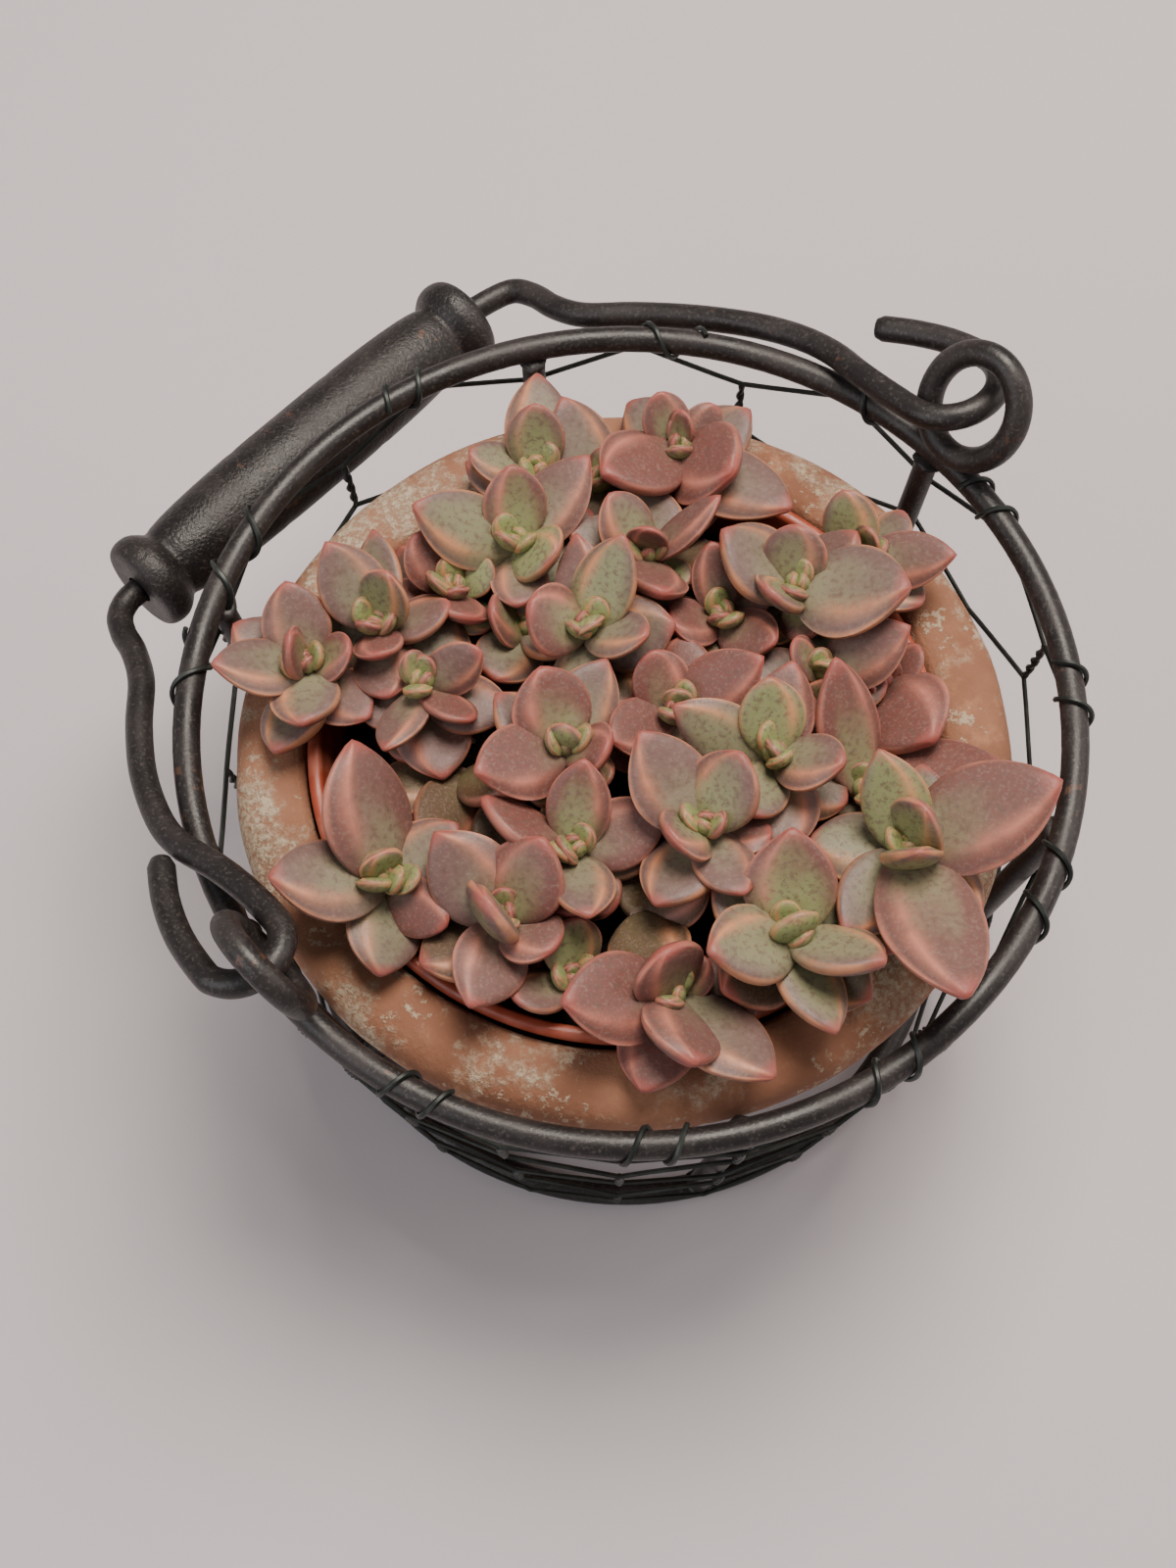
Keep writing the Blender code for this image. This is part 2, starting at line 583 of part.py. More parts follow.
def make_soil(parts, cutters, stems):
    floor = pot_floor_z() + POT_WALL + GAP + NURSERY_WALL + GAP
    edge = soil_radius()
    low = NURSERY_BASE_R - NURSERY_WALL - GAP
    profile = [(0.0, soil_top(0)), (edge * 0.5, soil_top(edge * 0.5)), (edge, soil_top(edge)), (low, floor),
               (0.0, floor)]
    blank = turned("soil_blank", profile, 24, cutters, "potting_soil", POT_OFFSET, closed=False)
    soil = add("soil", as_mesh(blank), parts, "potting_soil")
    shape = bmesh.new()
    for stem in stems:
        bottom, top = stem_ends(stem)
        along = (top - bottom).normalized()
        points = tube_points([bottom - along * GAP, bottom + along * (STEM_DEPTH + 8.0)], STEM_R + GAP, 6)
        corners = [shape.verts.new(point * MM) for point in points]
        for face in tube_faces(2, 6):
            shape.faces.new([corners[i] for i in face])
    bmesh.ops.recalc_face_normals(shape, faces=shape.faces)
    data = bpy.data.meshes.new("stem_holes")
    shape.to_mesh(data)
    shape.free()
    holes = add("stem_holes", data, cutters, "potting_soil")
    holes.hide_render = True
    holes.display_type = "WIRE"
    cut = soil.modifiers.new("Stem holes", "BOOLEAN")
    cut.object = holes
    cut.operation = "DIFFERENCE"
    cut.solver = "EXACT"


# Sedum stems and leaves


def tube_points(route, radius, sides):
    """Corners of a straight-sided stem along a route, ring after ring."""
    along = (route[-1] - route[0]).normalized()
    side = along.orthogonal().normalized()
    other = along.cross(side)
    points = []
    for centre in route:
        for i in range(sides):
            angle = 2 * math.pi * i / sides
            points.append(centre + (side * math.cos(angle) + other * math.sin(angle)) * radius)
    return points


def tube_faces(rings, sides):
    faces = [list(range(sides))[::-1], [(rings - 1) * sides + i for i in range(sides)]]
    for ring in range(rings - 1):
        for i in range(sides):
            j = (i + 1) % sides
            a, b = ring * sides, (ring + 1) * sides
            faces.append([a + i, a + j, b + j, b + i])
    return faces


def crown(name):
    x, y, rise = ROSETTES[name][0]
    return Vector((x + POT_OFFSET[0], y + POT_OFFSET[1], POT_TOP_Z + rise))


def stem_ends(name):
    """Bottom in the soil and top at the crown. A stem leans out from nearer the middle of the pot."""
    top = crown(name)
    x, y = top.x - POT_OFFSET[0], top.y - POT_OFFSET[1]
    reach = math.hypot(x, y)
    foot = min(reach * 0.9, 41.0)
    share = foot / reach if reach else 0.0
    ground = soil_top(foot)
    surface = Vector((POT_OFFSET[0] + x * share, POT_OFFSET[1] + y * share, ground))
    return surface - (top - surface).normalized() * (STEM_DEPTH - 1.0), top


def outline(share):
    """Half width over a leaf's length, as a share of its widest, which lies past the middle."""
    return (0.06 + 0.94 * share) ** 0.72 * (1 - share) ** 0.52 / 0.431


def belly(share):
    """Thickness over a leaf's length, as a share of its thickest."""
    return (0.12 + 0.88 * share) ** 0.45 * (1 - share) ** 0.42 / 0.552


def leaf_frame(base, azimuth, pitch):
    turn, rise = math.radians(azimuth), math.radians(pitch)
    along = Vector((math.cos(turn) * math.cos(rise), math.sin(turn) * math.cos(rise), math.sin(rise)))
    side = Vector((-math.sin(turn), math.cos(turn), 0.0))
    return base, along, side, along.cross(side)


def leaf_shape(frame, length, width, rings, sides, grow=0.0, start=0.0):
    """Corners and faces of a thick leaf: rings of corners and a pointed tip. grow swells it all round."""
    base, along, side, up = frame
    thick = max(width * LEAF_THICK, 2.4)
    points, faces = [], []
    shares = [start + (1 - start) * share for share in rings]
    for share in shares:
        half = width / 2 * outline(share) + grow
        lift = 0.10 * length * share * share
        for i in range(sides):
            angle = 2 * math.pi * i / sides
            deep = thick * belly(share) * (0.42 if math.sin(angle) > 0 else 0.58) + grow
            points.append(base + along * (length * share) + side * half * math.cos(angle)
                          + up * (deep * math.sin(angle) + lift))
    points.append(base + along * (length + grow) + up * 0.10 * length)
    tip = len(points) - 1
    faces.append(list(range(sides))[::-1])
    for ring in range(len(rings) - 1):
        for i in range(sides):
            j = (i + 1) % sides
            faces.append([ring * sides + i, ring * sides + j, (ring + 1) * sides + j, (ring + 1) * sides + i])
    last = (len(rings) - 1) * sides
    for i in range(sides):
        faces.append([last + i, last + (i + 1) % sides, tip])
    return points, faces


def clears_pot(points):
    """True where no corner reaches into a pot's rim, the soil, the top ring or the bail's path."""
    for point in points:
        radius = math.hypot(point.x - POT_OFFSET[0], point.y - POT_OFFSET[1])
        inside = radius < nursery_radius(point.z) - NURSERY_WALL - 1.3
        ground = soil_top(radius) if inside else POT_TOP_Z + 0.6
        ring = math.hypot(math.hypot(point.x, point.y) - TOP_RING_R, point.z - TOP_RING_Z)
        along = abs(point.dot(polar(1.0, AXIS_TURN)))
        if point.z < ground + 0.5 or ring < WIRE_R + 0.6 or along > LEAF_REACH:
            return False
    return True


def place_leaves():
    """Settles every leaf: each in turn takes the smallest change of pitch, azimuth or size that keeps it clear.

    Returns, by rosette, the (frame, length, width, rings, sides) of each leaf.
    """
    changes = sorted(
        ((pitch, azimuth, size) for pitch in (0, 6, -6, 12, -12, 18, -18, 26, 34, 44)
         for azimuth in (0, 8, -8, 16, -16, 25, -25) for size in (1.0, 0.9, 0.8, 0.68)),
        key=lambda c: abs(c[0]) / 11 + abs(c[1]) / 9 + (1 - c[2]) * 9)
    solids = []
    for name in ROSETTES:
        bottom, top = stem_ends(name)
        points, faces = tube_points([bottom, top], STEM_R + LEAF_CLEAR, 6), tube_faces(2, 6)
        solids.append((name, False, top, (top - bottom).length, BVHTree.FromPolygons(points, faces)))
    settled = {name: [] for name in ROSETTES}
    deepest = max(len(leaves) for _, leaves in ROSETTES.values())
    for order in range(deepest):
        for name, (_, leaves) in ROSETTES.items():
            if order >= len(leaves):
                continue
            azimuth, pitch, length, width = leaves[order]
            small = length < 8.5
            rings, sides = (BUD_RINGS, BUD_SIDES) if small else (LEAF_RINGS, LEAF_SIDES)
            base = crown(name) - Vector((0, 0, 0.4 * order + 0.3 if not small else 0.0))
            near = [s for s in solids if (s[2] - base).length < s[3] + length + 4]
            for rise, turn, size in changes:
                frame = leaf_frame(base, azimuth + turn, pitch + rise)
                body = leaf_shape(frame, length * size, width * size, rings, sides, grow=LEAF_CLEAR)
                if not clears_pot(body[0]):
                    continue
                tree = BVHTree.FromPolygons(*body)
                if any(own != name and tree.overlap(other) for own, _, _, _, other in near):
                    continue
                outer = leaf_shape(frame, length * size, width * size, rings, sides, start=0.45)
                outer_tree = BVHTree.FromPolygons(*outer)
                if any(own == name and leaf and outer_tree.overlap(other) for own, leaf, _, _, other in near):
                    continue
                settled[name].append((frame, length * size, width * size, rings, sides))
                plain = leaf_shape(frame, length * size, width * size, rings, sides)
                solids.append((name, True, base, length, BVHTree.FromPolygons(*plain)))
                break
    return settled


def make_sedum(parts, cutters):
    settled = place_leaves()
    dropped = sum(len(leaves) for _, leaves in ROSETTES.values()) - sum(len(v) for v in settled.values())
    print("leaves that found no room:", dropped)
    for name, leaves in settled.items():
        bottom, top = stem_ends(name)
        along = (top - bottom).normalized()
        route = [bottom, top + along * 0.8]
        pieces = [add(f"{name}_stem", mesh_from(name, tube_points(route, STEM_R, 6), tube_faces(2, 6)),
                      cutters, "sedum_leaf")]
        for number, (frame, length, width, rings, sides) in enumerate(leaves):
            points, faces = leaf_shape(frame, length, width, rings, sides)
            pieces.append(add(f"{name}_leaf_{number}", mesh_from(name, points, faces), cutters, "sedum_leaf"))
        fused(name, pieces, parts, "sedum_leaf")


def main():
    clear_scene()
    parts = new_collection("potted_sedum")
    cutters = new_collection("cutters")
    make_rings(parts)
    make_stays(parts)
    make_floor_rods(parts)
    make_netting(parts, cutters)
    make_netting_floor(parts)
    make_bail(parts)
    make_clay_pot(parts)
    make_nursery_pot(parts)
    make_soil(parts, cutters, list(ROSETTES))
    make_sedum(parts, cutters)
    frame = bpy.data.objects.new("basket_frame", None)
    frame.location = (FRAME_SHIFT[0] * MM, FRAME_SHIFT[1] * MM, 0.0)
    bpy.context.scene.collection.objects.link(frame)
    for obj in [*parts.objects, *cutters.objects]:
        obj.parent = frame


main()
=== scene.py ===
"""A potted sedum in a wire basket with a swinging bail handle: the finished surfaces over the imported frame.

Sizes are in millimetres from the rings' own centre, and the frame's shift and scale turn them to its metres.
"""

import logging
import math
import random
from collections.abc import Callable, Iterable, Sequence
from dataclasses import dataclass, field
from enum import Enum
from itertools import product
from typing import NamedTuple

import bmesh
import bpy
from mathutils import Matrix, Vector, noise
from mathutils.bvhtree import BVHTree

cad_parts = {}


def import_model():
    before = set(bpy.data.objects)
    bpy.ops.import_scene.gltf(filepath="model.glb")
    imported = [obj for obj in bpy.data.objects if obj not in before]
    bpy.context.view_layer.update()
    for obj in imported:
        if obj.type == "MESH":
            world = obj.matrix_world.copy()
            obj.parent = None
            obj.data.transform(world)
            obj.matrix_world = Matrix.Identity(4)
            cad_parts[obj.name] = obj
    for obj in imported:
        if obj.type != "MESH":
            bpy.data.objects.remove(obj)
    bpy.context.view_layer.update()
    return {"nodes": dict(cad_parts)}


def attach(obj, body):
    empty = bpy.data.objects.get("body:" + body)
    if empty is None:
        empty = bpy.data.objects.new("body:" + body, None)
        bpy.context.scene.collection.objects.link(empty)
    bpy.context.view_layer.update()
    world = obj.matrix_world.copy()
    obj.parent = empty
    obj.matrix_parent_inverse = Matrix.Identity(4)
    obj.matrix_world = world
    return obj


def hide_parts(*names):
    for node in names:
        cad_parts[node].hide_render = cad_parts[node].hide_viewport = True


log = logging.getLogger("potted_sedum")

MM = 0.001
GAP = 0.3
FRAME_SHIFT = (6.9, -9.4)
SCALE = Matrix.Translation((FRAME_SHIFT[0] * MM, FRAME_SHIFT[1] * MM, 0.0)) @ Matrix.Scale(MM, 4)

WIRE_R = 2.2
TOP_RING_R, TOP_RING_Z = 70.0, 85.0
BASE_RING_R, BASE_RING_Z = 57.5, WIRE_R * math.cos(math.radians(22.5))
STAY_R, STAY_TOP_R, STAY_COUNT, STAY_TURN = 2.0, 69.0, 6, 43.5
STAY_LOW_Z, STAY_HIGH_Z = 2 * BASE_RING_Z + GAP, TOP_RING_Z - WIRE_R - GAP
FLOOR_ROD_R, FLOOR_ROD_SPACING, FLOOR_ROD_TURN = 1.8, 20.0, 13.5
NET_WIRE_R = 0.45
POT_OFFSET = (-1.0, -3.2)
POT_TOP_Z = 81.4
AXIS_TURN, HINGE_Z = 41.0, TOP_RING_Z + 12.7
SMALL_LEAF, LEAF_THICK, LEAF_LEAST, LEAF_LIFT = 8.5, 0.42, 2.4, 0.10

Point = tuple[float, float]
Triple = tuple[float, float, float]

# Each rosette: its crown from the pot's centre, with the height over the clay rim, then its leaves as
# azimuth and pitch in degrees, length and width. The first leaves listed keep their place best.
ROSETTES = {
    "sedum_01": ((-14, 45, 6), (
        (92, 48, 12, 8.5), (75, 14, 19, 10), (170, 18, 12, 7), (20, 12, 11, 7))),
    "sedum_02": ((9.4, 48.3, 8), (
        (215, 22, 17, 12), (288, 30, 14, 13), (325, 10, 21, 11), (135, 40, 11, 7), (42, 38, 10, 6),
        (92, 58, 8, 5))),
    "sedum_03": ((-17, 29, 11), (
        (95, 45, 13, 9), (172, 18, 18, 10.5), (320, 38, 11, 9), (50, 14, 18, 9.5), (255, 5, 12, 8),
        (200, 60, 6.5, 4.5))),
    "sedum_04": ((3.7, 27.4, 10), (
        (28, 30, 15, 7), (130, 35, 12, 8.5), (282, 32, 13, 9.5), (95, 50, 10, 6), (160, 6, 13, 9),
        (235, 55, 6, 4.5))),
    "sedum_05": ((27, 20.5, 12), (
        (344, 24, 19, 14), (95, 48, 11, 9), (218, 45, 9.5, 8), (148, 22, 15, 12), (20, 66, 5.5, 4.5))),
    "sedum_06": ((15.5, 18.5, 6), (
        (100, 32, 12, 6.5), (318, 24, 12, 8), (200, 26, 10, 8), (30, 24, 9, 6), (250, 60, 5, 4))),
    "sedum_07": ((38.3, 29, 6), (
        (352, 16, 15, 8.5), (112, 38, 12, 8), (50, 35, 9.5, 5), (175, 12, 14, 8), (15, 50, 7, 4),
        (265, 20, 10, 7))),
    "sedum_08": ((-6, 12.6, 13), (
        (62, 38, 16, 9), (175, 36, 11.5, 10), (338, 36, 12, 8), (112, 16, 17, 8.5), (95, 62, 6, 5.5),
        (262, 10, 13, 8.5))),
    "sedum_09": ((-27, 22.3, 8), (
        (132, 30, 11, 8), (28, 35, 10, 7), (292, 28, 9, 8), (205, 40, 8, 5), (72, 16, 14, 8))),
    "sedum_10": ((-38.6, 15, 10), (
        (128, 28, 15, 9.5), (62, 40, 12, 8), (272, 30, 9, 7), (95, 12, 16, 8), (12, 16, 12, 8),
        (205, 55, 6, 4.5))),
    "sedum_11": ((-50, 8.8, 8), (
        (192, 22, 15, 9), (105, 26, 13.5, 9.5), (272, 26, 13, 9.5), (8, 38, 10, 7), (160, 42, 11, 7),
        (320, 8, 13, 8.5), (70, 62, 6, 5))),
    "sedum_12": ((-31.7, 5, 9), (
        (14, 32, 12, 7), (318, 26, 11.5, 7), (248, 14, 14, 7), (345, 6, 14, 9), (120, 52, 6.5, 5))),
    "sedum_13": ((31.4, 7, 8), (
        (22, 24, 15, 9), (150, 42, 9, 6), (305, 38, 9, 7), (205, 14, 13, 9), (85, 58, 6, 4.5),
        (262, 2, 12, 8))),
    "sedum_14": ((-9, -7.5, 13), (
        (112, 34, 13, 11), (208, 22, 16.5, 10.5), (330, 42, 10, 8), (58, 16, 15, 9.5),
        (262, 58, 6.5, 5.5))),
    "sedum_15": ((8, 0, 9), (
        (24, 26, 16, 9.5), (118, 34, 11, 8), (212, 20, 13, 9), (300, 18, 11, 8), (80, 60, 6, 5))),
    "sedum_16": ((22.6, -8.9, 13), (
        (98, 40, 12.5, 9), (338, 30, 12.5, 9), (158, 14, 17, 9), (70, 12, 15, 9), (250, 16, 12, 8),
        (40, 64, 5.5, 4.5))),
    "sedum_17": ((11.7, -21, 14), (
        (58, 38, 13, 10.5), (128, 20, 17, 11), (212, 44, 10, 8.5), (296, 12, 19, 12), (318, 50, 8, 6.5),
        (95, 68, 5, 4.5))),
    "sedum_18": ((-7.8, -23, 10), (
        (82, 36, 14, 8.5), (166, 22, 16, 10), (280, 28, 14, 8.5), (22, 14, 15, 9.5), (230, 60, 6, 5))),
    "sedum_19": ((-18.3, -33.5, 9), (
        (56, 36, 14, 11), (132, 24, 16, 11.5), (196, 38, 11, 10), (322, 38, 10.5, 9), (252, 8, 15, 10),
        (95, 66, 6, 5))),
    "sedum_20": ((-36.5, -27, 8), (
        (104, 28, 21, 13.5), (188, 14, 19.5, 13), (62, 18, 17, 11), (92, 60, 8, 7), (322, 10, 12, 8),
        (350, 48, 7, 5), (240, 50, 7, 5.5))),
    "sedum_21": ((-8, -41, 2), (
        (88, 36, 10, 8.5), (205, 24, 11, 7.5), (308, 26, 9, 6), (150, 30, 9, 6))),
    "sedum_22": ((6.8, -45.5, 8), (
        (192, 22, 18, 12), (112, 42, 12, 10.5), (274, 30, 15, 11.5), (318, 12, 19, 11.5), (8, 42, 9, 7.5),
        (66, 20, 12, 9), (222, 66, 5, 4.5))),
    "sedum_23": ((24.5, -37, 12), (
        (204, 26, 16, 11), (330, 26, 16, 10.5), (92, 34, 16, 12), (130, 56, 9, 7), (272, 50, 8, 7.5),
        (290, 4, 16, 9.5), (50, 64, 6, 5))),
    "sedum_24": ((42, -24, 13), (
        (17, 20, 24, 14), (282, 16, 28, 13.5), (112, 34, 16, 9), (58, 42, 13, 9), (268, 46, 14.5, 8),
        (338, 44, 11, 6), (232, 14, 16, 10), (180, 68, 5, 4.5))),
    "sedum_25": ((40.5, 8, 3), (
        (298, 22, 16, 13.5), (12, 26, 9, 6))),
    "sedum_26": ((37, -11, 4), (
        (28, 14, 22, 15), (108, 20, 22, 10), (340, 4, 14, 9))),
    "sedum_27": ((30.5, -1.5, 1), (
        (80, 18, 12, 9), (10, 12, 12, 9), (270, 6, 12, 9))),
    "sedum_28": ((-25.5, -7, 1), (
        (255, 14, 16, 10), (340, 12, 16, 10.5), (190, 10, 14, 9))),
    "sedum_29": ((-3.5, 44.5, 4), (
        (118, 22, 15, 10), (60, 30, 10, 7), (200, 10, 12, 9), (270, 14, 10, 8))),
    "sedum_30": ((2, -31, 3), (
        (285, 24, 13, 11), (20, 20, 12, 9), (80, 22, 9, 7))),
    "sedum_31": ((-15.5, 17.5, 4), (
        (320, 22, 12, 9), (245, 20, 12, 9.5), (190, 12, 11, 8), (20, 20, 9, 7))),
    "sedum_32": ((-23, -20, 2), (
        (75, 16, 16, 11), (10, 16, 14, 10), (280, 10, 12, 9))),
}
# Rosettes that sit low among the others: they get no bud and take the full painted shade
LOW_SHADED_ROSETTES = ("sedum_27", "sedum_28", "sedum_30", "sedum_32")
RED_ROSETTES = ("sedum_25",)


class Body(Enum):
    """The moving bodies of the basket."""

    BASKET = "root"
    BAIL = "bail"
    GRIP = "grip"


class Slot(Enum):
    """The record's material slots."""

    WIRE = "wire"
    GRIP = "grip"
    NETTING = "netting"
    CLAY = "clay"
    NURSERY = "nursery_plastic"
    SOIL = "soil"
    LEAF = "leaf"


# Shared helpers


def linear(colour: str) -> tuple[float, float, float, float]:
    """Turns an sRGB hex colour such as "#a06040" into linear RGBA."""
    parts = [int(colour[i:i + 2], 16) / 255 for i in (1, 3, 5)]
    return (*(c / 12.92 if c <= 0.04045 else ((c + 0.055) / 1.055) ** 2.4 for c in parts), 1.0)


def polar(radius: float, turn: float, z: float = 0.0) -> Vector:
    """A point from its radius, its azimuth in degrees and its height."""
    angle = math.radians(turn)
    return Vector((radius * math.cos(angle), radius * math.sin(angle), z))


# Unit vectors along the bail's hinge axis, and level towards the resting grip
HINGE_AXIS, HINGE_LEVEL = polar(1.0, AXIS_TURN), polar(1.0, AXIS_TURN + 90)


def smoothed(points: Iterable[Sequence[float]], per_span: int) -> list[Vector]:
    """Points along a Catmull-Rom curve.

    Args:
        points: the points that the curve passes through.
        per_span: how many points stand for each span.

    Returns:
        The curve's points, with the last given point at the end.
    """
    held = [Vector(point) for point in points]
    ends = [held[0] * 2 - held[1], *held, held[-1] * 2 - held[-2]]
    found = []
    for a, b, c, d in zip(ends, ends[1:], ends[2:], ends[3:]):
        for step in range(per_span):
            u = step / per_span
            found.append(0.5 * (2 * b + (c - a) * u + (2 * a - 5 * b + 4 * c - d) * u * u
                                + (3 * b - a - 3 * c + d) * u ** 3))
    return [*found, held[-1]]


def add_node(name: str, shape: bmesh.types.BMesh, look: bpy.types.Material,
             stands_for: Sequence[str] = (), body: Body = Body.BASKET,
             angle: float = 50.0) -> bpy.types.Object:
    """Makes a finished piece of the basket from a bmesh in millimetres.

    Args:
        name: the piece's name.
        shape: its surface, which is freed.
        look: its material.
        stands_for: the CAD nodes that it replaces.
        body: the body that it moves with.
        angle: the angle in degrees over which an edge stays sharp.

    Returns:
        The new object.
    """
    shape.transform(SCALE)
    bmesh.ops.recalc_face_normals(shape, faces=shape.faces)
    data = bpy.data.meshes.new(name)
    shape.to_mesh(data)
    shape.free()
    data.materials.append(look)
    data.shade_smooth()
    data.set_sharp_from_angle(angle=math.radians(angle))
    obj = bpy.data.objects.new(name, data)
    bpy.context.scene.collection.objects.link(obj)
    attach(obj, body.value)
    if stands_for:
        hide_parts(*stands_for)
    log.info("%s: %d faces", name, len(data.polygons))
    return obj


def spun(profile: Sequence[Point], steps: int, centre: Point = (0.0, 0.0)) -> bmesh.types.BMesh:
    """Spins a closed profile about a vertical.

    Args:
        profile: its corners, each as (radius, height).
        steps: how many steps the full turn takes.
        centre: where the vertical stands.

    Returns:
        The turned shape.
    """
    shape = bmesh.new()
    corners = [shape.verts.new((radius, 0.0, z)) for radius, z in profile]
    edges = [shape.edges.new((a, b)) for a, b in zip(corners, corners[1:] + corners[:1])]
    bmesh.ops.spin(shape, geom=[*corners, *edges], cent=(0, 0, 0), axis=(0, 0, 1), angle=2 * math.pi,
                   steps=steps, use_merge=True)
    bmesh.ops.translate(shape, verts=shape.verts, vec=(*centre, 0.0))
    return shape


def circle_profile(radius: float, z: float, wire: float, count: int = 20) -> list[Point]:
    """A round wire section at a ring's radius and height, kept above the standing surface."""
    angles = [2 * math.pi * i / count for i in range(count)]
    return [(radius + wire * math.cos(angle), max(z + wire * math.sin(angle), 0.0)) for angle in angles]


def sweep(shape: bmesh.types.BMesh, route: Sequence[Vector], radius: float | Callable[[float], float],
          sides: int, cyclic: bool = False) -> None:
    """Extrudes a circle along a route, to make a wire.

    Args:
        shape: the bmesh that takes the wire.
        route: the wire's centre line.
        radius: its radius, or the radius by the share of the length.
        sides: how many sides the wire has.
        cyclic: whether the ends join.
    """
    wire = bmesh.new()
    count = len(route)
    side = (route[1] - route[0]).orthogonal().normalized()
    order = bmesh.ops.create_circle(wire, segments=sides, radius=1.0)["verts"]
    edges = list(wire.edges)
    for i, centre in enumerate(route):
        if i:
            made = bmesh.ops.extrude_edge_only(wire, edges=edges)["geom"]
            fresh = {item for item in made if isinstance(item, bmesh.types.BMVert)}
            order = [next(e.other_vert(v) for e in v.link_edges if e.other_vert(v) in fresh) for v in order]
            edges = [e for e in made
                     if isinstance(e, bmesh.types.BMEdge) and all(v in fresh for v in e.verts)]
        before = route[(i - 1) % count if cyclic else max(i - 1, 0)]
        after = route[(i + 1) % count if cyclic else min(i + 1, count - 1)]
        along = (after - before).normalized()
        side = (side - along * side.dot(along)).normalized()
        other = along.cross(side)
        size = radius(i / (count - 1)) if callable(radius) else radius
        for k, vert in enumerate(order):
            angle = 2 * math.pi * k / sides
            vert.co = centre + (side * math.cos(angle) + other * math.sin(angle)) * size
    rims = [edge for edge in wire.edges if edge.is_boundary]
    if cyclic:
        bmesh.ops.bridge_loops(wire, edges=rims)
    else:
        bmesh.ops.holes_fill(wire, edges=rims, sides=0)
    held = bpy.data.meshes.new("wire")
    wire.to_mesh(held)
    wire.free()
    shape.from_mesh(held)
    bpy.data.meshes.remove(held)


def stock(shape: bmesh.types.BMesh) -> bpy.types.Mesh:
    """Turns a shape into plain mesh data that other shapes can copy in many times.

    Args:
        shape: the shape, which is freed.

    Returns:
        The mesh data.
    """
    data = bpy.data.meshes.new("stock")
    shape.to_mesh(data)
    shape.free()
    return data


def copy_in(shape: bmesh.types.BMesh, data: bpy.types.Mesh) -> list[bmesh.types.BMVert]:
    """Adds a copy of mesh data to a shape.

    Args:
        shape: the shape that takes it.
        data: the mesh data.

    Returns:
        The copy's corners.
    """
    start = len(shape.verts)
    shape.from_mesh(data)
    shape.verts.ensure_lookup_table()
    return shape.verts[start:]


def stock_sphere(across: int, along: int) -> bpy.types.Mesh:
    """Makes a unit sphere as stock.

    Args:
        across: its meridians.
        along: its rows.

    Returns:
        The mesh data.
    """
    shape = bmesh.new()
    bmesh.ops.create_uvsphere(shape, u_segments=across, v_segments=along, radius=1.0)
    return stock(shape)


# Materials


class Recipe:
    """Builds one procedural material node by node."""

    def __init__(self, name: str) -> None:
        """Starts a material with a Principled shader and Object coordinates.

        Args:
            name: the material's name.
        """
        self.material = bpy.data.materials.new(name)
        self.material.use_nodes = True
        self.tree = self.material.node_tree
        self.shader = self.tree.nodes["Principled BSDF"]
        self.place = self.node("TexCoord", {}, "Object")

    def join(self, value: object, socket: bpy.types.NodeSocket) -> None:
        """Links an output to a socket, or sets the socket.

        Args:
            value: the output, or a number, a hex colour or a vector.
            socket: the socket that takes it.
        """
        if isinstance(value, bpy.types.NodeSocket):
            self.tree.links.new(value, socket)
        else:
            socket.default_value = linear(value) if isinstance(value, str) else value

    def node(self, kind: str, inputs: dict[str | int, object], out: str | int = 0,
             **settings: object) -> bpy.types.NodeSocket:
        """Adds a shader node with its settings and links.

        Args:
            kind: the node's type, without its ShaderNode.
            inputs: what goes into its sockets, by name or number.
            out: the output that is wanted.
            settings: the node's own properties.

        Returns:
            The wanted output.
        """
        made = self.tree.nodes.new(f"ShaderNode{kind}")
        for name, value in settings.items():
            setattr(made, name, value)
        for socket, value in inputs.items():
            self.join(value, made.inputs[socket])
        return made.outputs[out]

    def finish(self, colour: object, roughness: object, normal: object = None,
               **constants: float) -> bpy.types.Material:
        """Joins the results to the shader.

        Args:
            colour: the base colour.
            roughness: the roughness.
            normal: the normal, if it is changed.
            constants: numbers for the shader's own sockets, with _ for a space.

        Returns:
            The material.
        """
        self.join(colour, self.shader.inputs["Base Color"])
        self.join(roughness, self.shader.inputs["Roughness"])
        if normal is not None:
            self.join(normal, self.shader.inputs["Normal"])
        for name, value in constants.items():
            self.shader.inputs[name.replace("_", " ")].default_value = value
        return self.material


def per(size: float) -> float:
    """The texture scale whose features are size millimetres across."""
    return 1.0 / (size * MM)


def grain(place: object, size: float, detail: float = 3.0, rough: float = 0.55) -> dict[str | int, object]:
    """Inputs of a noise texture with features of size millimetres."""
    return {"Vector": place, "Scale": per(size), "Detail": detail, "Roughness": rough}


def span(value: object, low: float, high: float, start: float = 0.0,
         end: float = 1.0) -> dict[str | int, object]:
    """Inputs that map value from low..high to start..end."""
    return {"Value": value, "From Min": low, "From Max": high, "To Min": start, "To Max": end}


SMOOTH = {"interpolation_type": "SMOOTHSTEP"}
RGB = {"data_type": "RGBA"}


